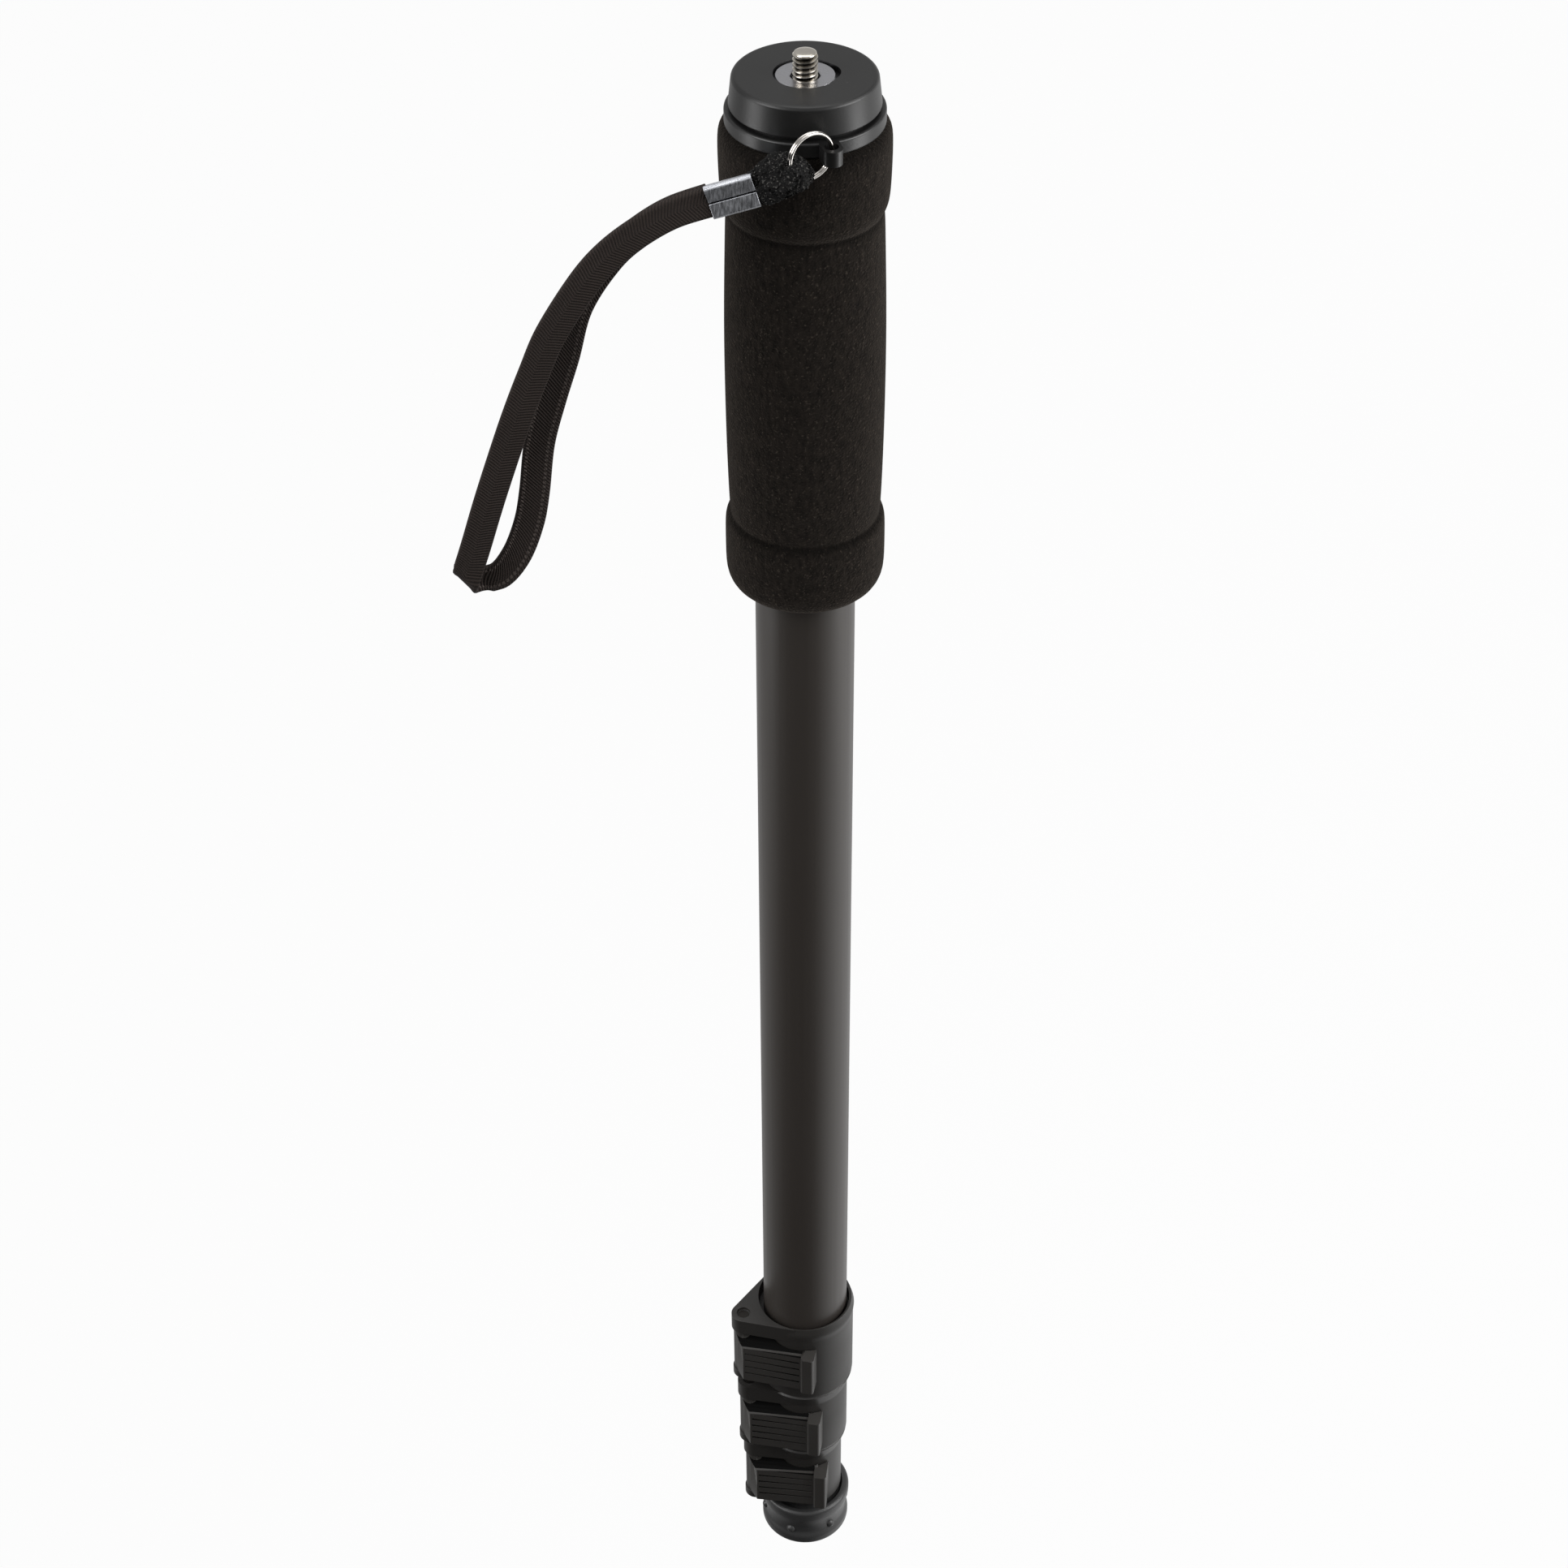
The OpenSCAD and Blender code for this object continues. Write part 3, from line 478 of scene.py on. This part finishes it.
def settled():  # puts the active piece's place into its mesh
    bpy.ops.object.transform_apply(location=True, rotation=True, scale=True)


def fitted(piece, finish, body, nodeName):
    piece.data.materials.clear()
    piece.data.materials.append(finish.material)
    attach(piece, body)
    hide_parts(nodeName)
    return piece


def joined(name, pieces):
    bpy.ops.object.select_all(action="DESELECT")
    for piece in pieces:
        piece.select_set(True)
    bpy.context.view_layer.objects.active = pieces[0]
    bpy.ops.object.join()
    made = bpy.context.object
    made.name = name
    return made


def roundedCopy(nodeName, name, edgePlan, reshape=None):  # a node's shape with its edges broken
    width, shortest = edgePlan
    sharp = math.radians(copyPlan["sharp"])
    onlyThis(nodes[nodeName])
    bpy.ops.object.duplicate()
    piece = bpy.context.object
    bpy.ops.object.parent_clear(type="CLEAR_KEEP_TRANSFORM")
    piece.name = name
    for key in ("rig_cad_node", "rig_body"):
        if key in piece:
            del piece[key]
    bpy.ops.object.mode_set(mode="EDIT")
    bpy.ops.mesh.select_all(action="SELECT")
    bpy.ops.mesh.remove_doubles(threshold=copyPlan["merge"] * mm)
    bpy.ops.mesh.dissolve_limited(angle_limit=math.radians(copyPlan["flat"]), delimit={"NORMAL"})
    bpy.ops.mesh.select_all(action="SELECT")
    bpy.ops.mesh.vert_connect_concave()
    if reshape:
        reshape()
    pick("EDGE", lambda edge: edge.is_manifold and edge.calc_face_angle() > sharp
         and edge.calc_length() > shortest * mm)
    bpy.ops.transform.edge_bevelweight(value=1)
    bpy.ops.object.mode_set(mode="OBJECT")
    applied(piece, "BEVEL", width=width * mm, segments=copyPlan["segments"],
            limit_method="WEIGHT", miter_outer="MITER_ARC")
    applied(piece, "TRIANGULATE")
    smooth(piece, copyPlan["sharp"])
    applied(piece, "WEIGHTED_NORMAL", keep_sharp=True)
    return piece


# Wrist strap, from one mouth of the ferrule round the loop and back

# The route gives x, y and z from where the tie leads to, and the lean of the strap's width.
# The rim and the flat give half the outer face: shares of the half width and of the half
# thickness there, and the place across the UV map.
strapPlan = {
    "at": Vector((1.767, -24.653, -10.7)), "width": 8.0, "edge": 1.8, "middle": 1.45,
    "steps": 8, "slant": 1.16,
    "rim": ((1.0, 0.0, 0.0), (0.985, 0.62, 0.03), (0.90, 0.97, 0.07), (0.74, 1.0, 0.14)),
    "flat": ((0.55, 0.24), (0.0, 0.5)),
    "route": [
        (-25.0, -2.9, -9.5, -73), (-34.0, -3.2, -12.5, -67), (-42.0, -3.5, -17.2, -55),
        (-49.9, -3.5, -23.8, -45), (-56.6, -4.0, -31.8, -36), (-65.2, -4.0, -46.1, -30),
        (-70.0, -4.0, -57.5, -25), (-74.5, -4.5, -69.0, -20), (-78.5, -4.5, -80.5, -19),
        (-83.5, -5.0, -95.5, -17), (-87.8, -5.0, -109.5, -16), (-90.2, -4.8, -117.0, -34),
        (-91.1, -4.6, -119.9, -51.5), (-91.3, -2.9, -122.4, -51.5), (-88.8, -1.2, -122.8, -51.5),
        (-83.0, -1.2, -121.8, -70), (-77.8, -1.2, -115.0, -44), (-74.0, -1.0, -105.0, -18),
        (-72.0, -1.0, -95.0, -10), (-70.0, -0.5, -80.5, -11), (-66.5, -0.5, -67.5, -16),
        (-62.6, -0.5, -54.9, -20), (-58.3, -0.5, -39.6, -27), (-50.0, 0.0, -26.5, -42),
        (-42.0, 0.0, -19.0, -53), (-34.0, -0.3, -13.5, -65), (-25.0, -1.3, -9.5, -73),
    ],
}


def through(a, b, c, d, t):  # smooth curve between b and c
    return 0.5 * (2 * b + (c - a) * t + (2 * a - 5 * b + 4 * c - d) * t * t
                  + (3 * b - a - 3 * c + d) * t * t * t)


def strapSpots():
    points = [Vector(p) for p in strapPlan["route"]]
    last = len(points) - 1
    steps = strapPlan["steps"]
    spots = [through(points[max(n - 1, 0)], points[n], points[n + 1], points[min(n + 2, last)],
                     k / steps)
             for n in range(last) for k in range(steps)]
    return spots + [points[last]]


def strapSection():  # the outline, outer face then inner, with a little more body at the edges
    half = strapPlan["width"] / 2
    edge, middle = strapPlan["edge"] / 2, strapPlan["middle"] / 2
    outer = [(half * x, edge * y, u) for x, y, u in strapPlan["rim"]]
    outer += [(half * x, middle, u) for x, u in strapPlan["flat"]]
    outer += [(-x, y, 1 - u) for x, y, u in reversed(outer[:-1])]
    inner = [(-x, -y, 1 + u) for x, y, u in outer[1:-1]]
    return outer + inner


def makeStrap():
    spots = strapSpots()
    section = strapSection()
    count = len(section)
    mesh = bmesh.new()
    sheet = mesh.loops.layers.uv.new("braid")
    rings, travel, centres = [], [], []
    for n, spot in enumerate(spots):
        here = spot.to_3d()
        before, after = spots[max(n - 1, 0)], spots[min(n + 1, len(spots) - 1)]
        ahead = (after.to_3d() - before.to_3d()).normalized()
        turn = math.radians(spot[3])
        lean = Vector((math.cos(turn), 0, math.sin(turn)))
        square = (lean - lean.dot(ahead) * ahead).length
        wide = lean * min(1 / square, strapPlan["slant"])  # slanted at the fold
        thick = ahead.cross(wide).normalized()
        centre = strapPlan["at"] + here
        centres.append(centre * mm)
        rings.append([mesh.verts.new((centre + x * wide + y * thick) * mm) for x, y, u in section])
        travel.append(0.0 if n == 0 else travel[-1] + (here - spots[n - 1].to_3d()).length)
    for n in range(len(rings) - 1):
        for k in range(count):
            after = (k + 1) % count
            face = mesh.faces.new((rings[n][k], rings[n][after],
                                   rings[n + 1][after], rings[n + 1][k]))
            face.smooth = True
            ends = (section[k][2], section[after][2] if after else 2.0)  # the map closes at 2
            for loop, u, v in zip(face.loops, (ends[0], ends[1], ends[1], ends[0]),
                                  (travel[n], travel[n], travel[n + 1], travel[n + 1])):
                loop[sheet].uv = (u, v)
    mesh.faces.new(rings[0])
    mesh.faces.new(reversed(rings[-1]))
    bmesh.ops.recalc_face_normals(mesh, faces=mesh.faces)
    data = bpy.data.meshes.new("wristStrap")
    mesh.to_mesh(data)
    mesh.free()
    piece = bpy.data.objects.new("wristStrap", data)
    bpy.context.scene.collection.objects.link(piece)
    fitted(piece, strapCord, "strap", "wrist_strap")
    return piece, centres, travel[-1]


strap, strapLine, strapLength = makeStrap()
print("strap", round(strapLength, 1), "mm")


# Camera stud: a helical thread on a core with a domed end, and its hexagon head in the plug

studPlan = {"crest": 3.17, "root": 2.4, "neck": 2.85, "pitch": 1.27, "top": 5.4, "low": -2.6,
            "flanks": (0.12, 0.42, 0.58, 0.88), "threadSteps": 40, "inset": 0.05,
            "neckLow": 0.4, "neckHigh": 0.1, "tip": 6.0, "dome": 0.5, "coreSteps": 48,
            "headTop": -8.7, "headLow": -12.7, "headReach": 6.35, "headEdge": 0.3, "smooth": 50}


def makeThread():
    crest, root, pitch = studPlan["crest"], studPlan["root"], studPlan["pitch"]
    turns = math.ceil((studPlan["top"] - studPlan["low"]) / pitch) + 2
    start = studPlan["low"] - pitch
    reaches = (root, root, crest, crest, root, root)
    profile = [(reach, start + share * pitch)
               for reach, share in zip(reaches, (0.0,) + studPlan["flanks"] + (1.0,))]
    thread = profileLine("studThread", profile)
    bpy.ops.object.mode_set(mode="OBJECT")
    applied(thread, "SCREW", angle=math.tau, screw_offset=pitch * mm, iterations=turns,
            steps=studPlan["threadSteps"], render_steps=studPlan["threadSteps"], axis="Z",
            use_merge_vertices=True, merge_threshold=mergeGap * mm)
    bpy.ops.object.mode_set(mode="EDIT")
    for height, outward in ((studPlan["top"], 1), (studPlan["low"], -1)):
        bpy.ops.mesh.select_all(action="SELECT")
        bpy.ops.mesh.bisect(plane_co=(0, 0, height * mm), plane_no=(0, 0, outward),
                            use_fill=True, clear_outer=True)
    closeUp()
    return thread


def makeCore():
    inner, neck, top = studPlan["root"] - studPlan["inset"], studPlan["neck"], studPlan["top"]
    tip, rise = studPlan["tip"], studPlan["dome"]
    dome = [(neck * math.cos(a), tip - rise + rise * math.sin(a))
            for a in (math.radians(angle) for angle in range(10, 90, 10))]
    outline = [(0, studPlan["headTop"]), (inner, studPlan["headTop"]),
               (inner, top - studPlan["neckLow"]), (neck, top - studPlan["neckHigh"])]
    return turned("studCore", outline + dome + [(0, tip)], studPlan["coreSteps"])


def makeHexHead():
    depth = studPlan["headTop"] - studPlan["headLow"]
    bpy.ops.object.select_all(action="DESELECT")
    bpy.ops.mesh.primitive_cylinder_add(vertices=6, radius=studPlan["headReach"] * mm,
                                        depth=depth * mm,
                                        location=(0, 0, (studPlan["headTop"] - depth / 2) * mm))
    hexHead = bpy.context.object
    settled()
    applied(hexHead, "BEVEL", width=studPlan["headEdge"] * mm, segments=2)
    return hexHead


stud = joined("cameraStud", [makeThread(), makeCore(), makeHexHead()])
smooth(stud, studPlan["smooth"])
fitted(stud, studNickel, head, "camera_stud")
print("stud made")


# Foam grip: an outline of (radius, height)

gripPlan = {
    "steps": 120, "levels": 1, "smooth": 60,
    "outline": [
        (13.95, -12.9), (19.2, -12.9), (20.5, -13.2), (21.4, -14.1), (21.8, -15.4), (21.9, -18.0),
        (21.9, -21.0), (21.8, -25.5), (21.65, -29.5), (21.45, -32.5), (21.1, -34.3), (20.6, -35.5),
        (20.15, -36.1), (19.9, -36.6), (19.95, -37.2), (20.15, -37.8), (20.3, -39.8),
        (20.45, -45.0), (20.7, -54.0), (20.95, -64.0), (21.1, -76.0), (21.08, -88.0),
        (20.98, -100.0), (20.8, -111.0), (20.55, -120.0), (20.35, -125.8), (20.15, -127.3),
        (19.98, -128.0), (20.2, -128.4), (20.9, -128.9), (21.35, -129.9), (21.55, -131.4),
        (21.6, -135.0), (21.6, -140.0), (21.55, -144.5), (21.2, -147.0), (20.3, -149.0),
        (18.9, -150.1), (17.2, -150.4), (15.5, -150.4), (13.95, -150.4),
    ],
}


def makeGrip():
    outline = gripPlan["outline"]
    grip = turned("foamGrip", outline + outline[:1], gripPlan["steps"])
    applied(grip, "SUBSURF", levels=gripPlan["levels"], render_levels=gripPlan["levels"])
    smooth(grip, gripPlan["smooth"])
    fitted(grip, foamBlack, head, "foam_grip")


makeGrip()
print("grip made")


# Split ring: two coils of wire through the lug, whose ends lie inside the tie

ringPlan = {"at": Vector((1.286, -24.459, -9.6)), "radius": 6.05, "wire": 0.39, "pitch": 0.79,
            "coils": 2, "sides": 14, "steps": 72, "turn": 32, "start": 225, "smooth": 60}


def makeRing():
    bpy.ops.object.select_all(action="DESELECT")
    bpy.ops.mesh.primitive_circle_add(vertices=ringPlan["sides"], radius=ringPlan["wire"] * mm,
                                      rotation=(math.pi / 2, 0, 0))
    ring = bpy.context.object
    ring.name = "splitRing"
    settled()
    bpy.ops.object.mode_set(mode="EDIT")
    bpy.ops.mesh.select_all(action="SELECT")
    bpy.ops.transform.translate(value=(ringPlan["radius"] * mm, 0, -ringPlan["pitch"] * mm))
    bpy.ops.object.mode_set(mode="OBJECT")
    applied(ring, "SCREW", angle=math.tau, screw_offset=ringPlan["pitch"] * mm,
            iterations=ringPlan["coils"], steps=ringPlan["steps"],
            render_steps=ringPlan["steps"], axis="Z")
    bpy.ops.object.mode_set(mode="EDIT")
    bpy.ops.mesh.select_all(action="DESELECT")
    bpy.ops.mesh.select_mode(type="EDGE")
    bpy.ops.mesh.select_non_manifold()
    bpy.ops.mesh.edge_face_add()
    closeUp()
    ring.matrix_world = (Matrix.Translation(ringPlan["at"] * mm)
                         @ Matrix.Rotation(math.radians(ringPlan["turn"]), 4, "Z")
                         @ Matrix.Rotation(math.pi / 2, 4, "X")
                         @ Matrix.Rotation(math.radians(ringPlan["start"]), 4, "Z"))
    onlyThis(ring)
    settled()
    smooth(ring, ringPlan["smooth"])
    fitted(ring, ringSteel, "strap", "split_ring")


makeRing()
print("ring made")


# Woven tie between the ferrule and the ring

# The stations give place, width, thickness and lean; the tie's upper edge lies back
# towards the collar. The octaves of the crumple are fineness and share.
tiePlan = {
    "sides": 20, "back": 16, "levels": 3, "smooth": 80, "crumple": 0.75, "grain": 0.42,
    "octaves": ((1.0, 1.0), (2.3, 0.6), (5.0, 0.35), (9.0, 0.3)),
    "stations": [
        ((-14.5, -26.9, -17.6), 6.6, 2.4, 107), ((-12.6, -26.8, -17.0), 7.2, 2.6, 106),
        ((-10.6, -26.1, -16.2), 10.2, 5.0, 102), ((-8.6, -26.3, -15.0), 11.2, 5.2, 100),
        ((-6.4, -26.6, -13.7), 11.6, 5.4, 103), ((-4.4, -27.0, -12.8), 11.0, 5.4, 111),
        ((-2.4, -27.0, -12.0), 10.0, 5.0, 122), ((-0.9, -26.6, -11.5), 9.0, 4.2, 128),
        ((0.2, -26.2, -11.2), 6.8, 2.6, 130), ((0.8, -26.1, -11.0), 4.2, 1.2, 130),
    ],
}


def makeTie():
    stations = tiePlan["stations"]
    last = len(stations) - 1
    back = math.radians(tiePlan["back"])
    bpy.ops.object.select_all(action="DESELECT")
    bpy.ops.mesh.primitive_cylinder_add(vertices=tiePlan["sides"], radius=1, depth=1,
                                        end_fill_type="TRIFAN")
    tie = bpy.context.object
    tie.name = "strapTie"
    bpy.ops.object.mode_set(mode="EDIT")
    pick("EDGE", lambda edge: abs(edge.verts[0].co.z - edge.verts[1].co.z) > 0.5)  # the long edges
    bpy.ops.mesh.subdivide(number_cuts=last - 1)
    mesh = bmesh.from_edit_mesh(tie.data)
    for vert in mesh.verts:
        spot, width, thickness, lean = stations[round((vert.co.z + 0.5) * last)]
        turn, flat = math.radians(lean), math.cos(back)
        up = Vector((math.cos(turn) * flat, math.sin(back), math.sin(turn) * flat))
        x, y = vert.co.x, vert.co.y
        vert.co = (Vector(spot) + up * x * width / 2 + Vector((0, y * thickness / 2, 0))) * mm
    bmesh.update_edit_mesh(tie.data)
    closeUp()
    applied(tie, "SUBSURF", levels=tiePlan["levels"], render_levels=tiePlan["levels"])
    rough = tiePlan["grain"] / mm
    for vert in tie.data.vertices:
        fold = sum(share * noise.noise(vert.co * rough * finer)
                   for finer, share in tiePlan["octaves"])
        vert.co = vert.co + vert.normal * fold * tiePlan["crumple"] * mm
    smooth(tie, tiePlan["smooth"])
    return fitted(tie, tieTape, "strap", "strap_tie")


# Ferrule; an edge plan is the width of the broken edge and the shortest edge that has it

ferrulePlan = {"at": Vector((-17.633, -26.053, -18.5)), "slope": 17, "front": 2.3, "seam": 0.4,
               "fold": 0.35, "back": 0.5, "crown": 2.5, "drop": 1.0, "pinch": 1.6,
               "edge": (0.12, 0.2)}


def foldSeam():  # both halves of the ferrule's front lean in to their seam, and its back is pinched
    turn = math.radians(ferrulePlan["slope"])
    upward = Vector((-math.sin(turn), 0, math.cos(turn)))

    def off(vert):
        return vert.co / mm - ferrulePlan["at"]

    def atSeam(vert):
        inFront = off(vert).y < -ferrulePlan["front"]
        return inFront and abs(off(vert).dot(upward)) < ferrulePlan["seam"]

    def atBack(vert):
        return off(vert).y > ferrulePlan["back"]

    def atCrown(vert):
        return atBack(vert) and off(vert).dot(upward) > ferrulePlan["crown"]

    pick("VERT", atSeam)
    bpy.ops.transform.translate(value=(0, ferrulePlan["fold"] * mm, 0))
    pick("VERT", atCrown)
    bpy.ops.transform.translate(value=upward * -ferrulePlan["drop"] * mm)
    pick("VERT", atBack)
    bpy.ops.transform.translate(value=(0, -ferrulePlan["pinch"] * mm, 0))


tie = makeTie()
ferrule = fitted(roundedCopy("strap_ferrule", "strapFerrule", ferrulePlan["edge"], foldSeam),
                 ferruleSheet, "strap", "strap_ferrule")
round(strapLength * mm, 4)
strapPlan["width"] * mm
print("tie and ferrule made")


# Clamps: each one's body, radius and top

clampPlan = {"ear": 200.7, "earRadius": 4.0, "earReach": 5.8, "recess": (-9.75, -6.35),
             "depth": (2.05, 6.0), "upward": 0.1, "tab": 21.0, "grooves": (6.42, 6.75),
             "grooved": (1.8, 20.5), "collarEdge": (0.3, 0.25), "leverEdge": (0.15, 1.6)}
clamps = {1: (head, 15.95, -444.3), 2: ("second_section", 14.2, -478.2),
          3: ("third_section", 12.45, -508.8)}


def within(value, spanName):
    low, high = clampPlan[spanName]
    return low < value < high


def shadeLever(lever, radius, top):  # painted shade: the hollow behind the plate and the grooves get a dark copy of the plastic
    lever.data.materials.append(paintedShadePlastic.material)
    reach = radius + clampPlan["earReach"]
    ear = math.radians(clampPlan["ear"])
    pin = Vector((math.cos(ear), math.sin(ear), 0)) * reach
    facing = ear + math.acos((radius - clampPlan["earRadius"]) / reach)
    outward = Vector((math.cos(facing), math.sin(facing), 0))
    beside = Vector((-outward.y, outward.x, 0))
    for face in lever.data.polygons:
        spot = face.center / mm - pin
        out, along, height = spot.dot(outward), spot.dot(beside), spot.z - top
        hollow = (within(out, "depth") and along < clampPlan["tab"] and within(height, "recess")
                  and face.normal.z > clampPlan["upward"])
        # painted shade on the hollow's and the grooves' faces
        if hollow or within(out, "grooves") and within(along, "grooved"):
            face.material_index = 1


for n, (body, radius, top) in clamps.items():
    collarNode, leverNode = f"clamp_collar_{n}", f"clamp_lever_{n}"
    collar = roundedCopy(collarNode, f"clampCollar{n}", clampPlan["collarEdge"])
    fitted(collar, clampPlastic, body, collarNode)
    lever = roundedCopy(leverNode, f"clampLever{n}", clampPlan["leverEdge"])
    fitted(lever, paintedLightLeverPlastic, f"lever_{n}", leverNode)
    shadeLever(lever, radius, top)
print("clamps made")


# Nodes whose shape stays

keptNodes = {
    "camera_platform": headPlastic, "strap_collar": headPlastic, "stud_washer": washerSteel,
    "head_plug": innerPlastic, "plug_pins": pinSteel, "upper_tube": tubeBlack,
    "second_tube": tubeBlack, "third_tube": tubeBlack, "lower_tube": tubeBlack,
    "guide_bush_2": innerPlastic, "guide_bush_3": innerPlastic, "guide_bush_4": innerPlastic,
    "lever_pin_1": pinSteel, "lever_pin_2": pinSteel, "lever_pin_3": pinSteel,
    "brake_shoe_1": shoeBrass, "brake_shoe_2": shoeBrass, "brake_shoe_3": shoeBrass,
    "foot_plug": innerPlastic, "foot_spike": pinSteel, "foot_nut": shoeBrass,
    "foot_wheel": footRubber,
}
for nodeName, finish in keptNodes.items():
    nodes[nodeName].data.materials.clear()
    nodes[nodeName].data.materials.append(finish.material)
print("nodes painted")


# Floor, lamps and sky

# The floor lies under the foot of the drawn-out monopod, and its rim rises to a low backdrop.
# Its colour and the glow that glossy rays see of it darken towards the front, and more on the left:
# painted dark reflections for the black pieces.
stagePlan = {
    "outline": [(0, -1700), (9000, -1700), (9600, -1600), (9900, -1200), (10000, -600),
                (10000, 1500)],
    "steps": 96, "smooth": 60, "rough": 0.9, "paper": 0.9, "white": 0.965, "skyLevel": 0.42,
    "paintedShade": 0.05, "lean": 0.3, "fade": (-0.8, 0.12), "left": 0.3, "right": 1.0,
}
lamps = {  # place, size, watts and aim
    "leftBox": ((-0.9, -0.45, 0.55), 0.7, 9, (0, 0, -0.2)),
    "rightBox": ((0.9, -0.25, 0.35), 0.7, 10, (0, 0, -0.25)),
    "topBox": ((0.0, 0.35, 1.2), 1.0, 5, (0, 0, -0.2)),
    "leftStrip": ((-0.8, -0.16, -0.36), 0.36, 2.0, (0, 0, -0.1)),
    "rightStrip": ((0.8, -0.12, -0.36), 0.36, 1.6, (0, 0, -0.1)),
}


def floorPaper():
    left, right = stagePlan["left"], stagePlan["right"]
    paper = Finish("floorPaper", Roughness=stagePlan["rough"], Specular_IOR_Level=0.0)
    heading = paper.node("VectorMath", {"operation": "NORMALIZE"}, {0: paper.place((1, 1, 0))})
    side, depth = [paper.part(heading, axis) for axis in "XY"]
    # Painted reflection: how bright the floor is, by direction, in its colour and in what glossy
    # rays see
    front = paper.ranged(depth + side * stagePlan["lean"], stagePlan["fade"], (0.0, 1.0))
    paintedFloorBright = front * (side * ((right - left) / 2) + (right + left) / 2)
    tone = paper.mixed(paintedFloorBright, grey(stagePlan["paintedShade"]), grey(stagePlan["paper"]))
    paper.feed("Base Color", tone)
    glow = paper.node("Emission", None, {"Color": grey(1.0), "Strength": 1.0})
    seen, glossy, clear = [paper.node("LightPath", output=f"Is {ray} Ray")
                           for ray in ("Camera", "Glossy", "Transmission")]
    share = (seen + glossy * paintedFloorBright + clear) * stagePlan["white"]
    blend = paper.node("MixShader", None, {0: share, 1: Wire(paper.shader.outputs[0]), 2: glow})
    paper.tree.links.new(blend.socket, paper.tree.nodes["Material Output"].inputs["Surface"])
    return paper


def makeFloor():
    floor = turned("floor", stagePlan["outline"], stagePlan["steps"])
    smooth(floor, stagePlan["smooth"])
    floor.data.materials.append(floorPaper().material)


def makeLamps():
    for name, (place, size, watts, aim) in lamps.items():
        bpy.ops.object.select_all(action="DESELECT")
        bpy.ops.object.light_add(type="AREA", location=place)
        lamp = bpy.context.object
        lamp.name = name
        lamp.data.shape = "SQUARE"
        lamp.data.size = size
        lamp.data.energy = watts
        lamp.visible_camera = False
        lamp.rotation_euler = (Vector(aim) - Vector(place)).to_track_quat("-Z", "Y").to_euler()


def makeSky():
    sky = bpy.data.worlds.new("studioSky")
    bpy.context.scene.world = sky
    sky.use_nodes = True
    backdrop = sky.node_tree.nodes["Background"]
    backdrop.inputs["Color"].default_value = grey(1.0)
    backdrop.inputs["Strength"].default_value = stagePlan["skyLevel"]


makeFloor()
makeLamps()
makeSky()
print("stage set")
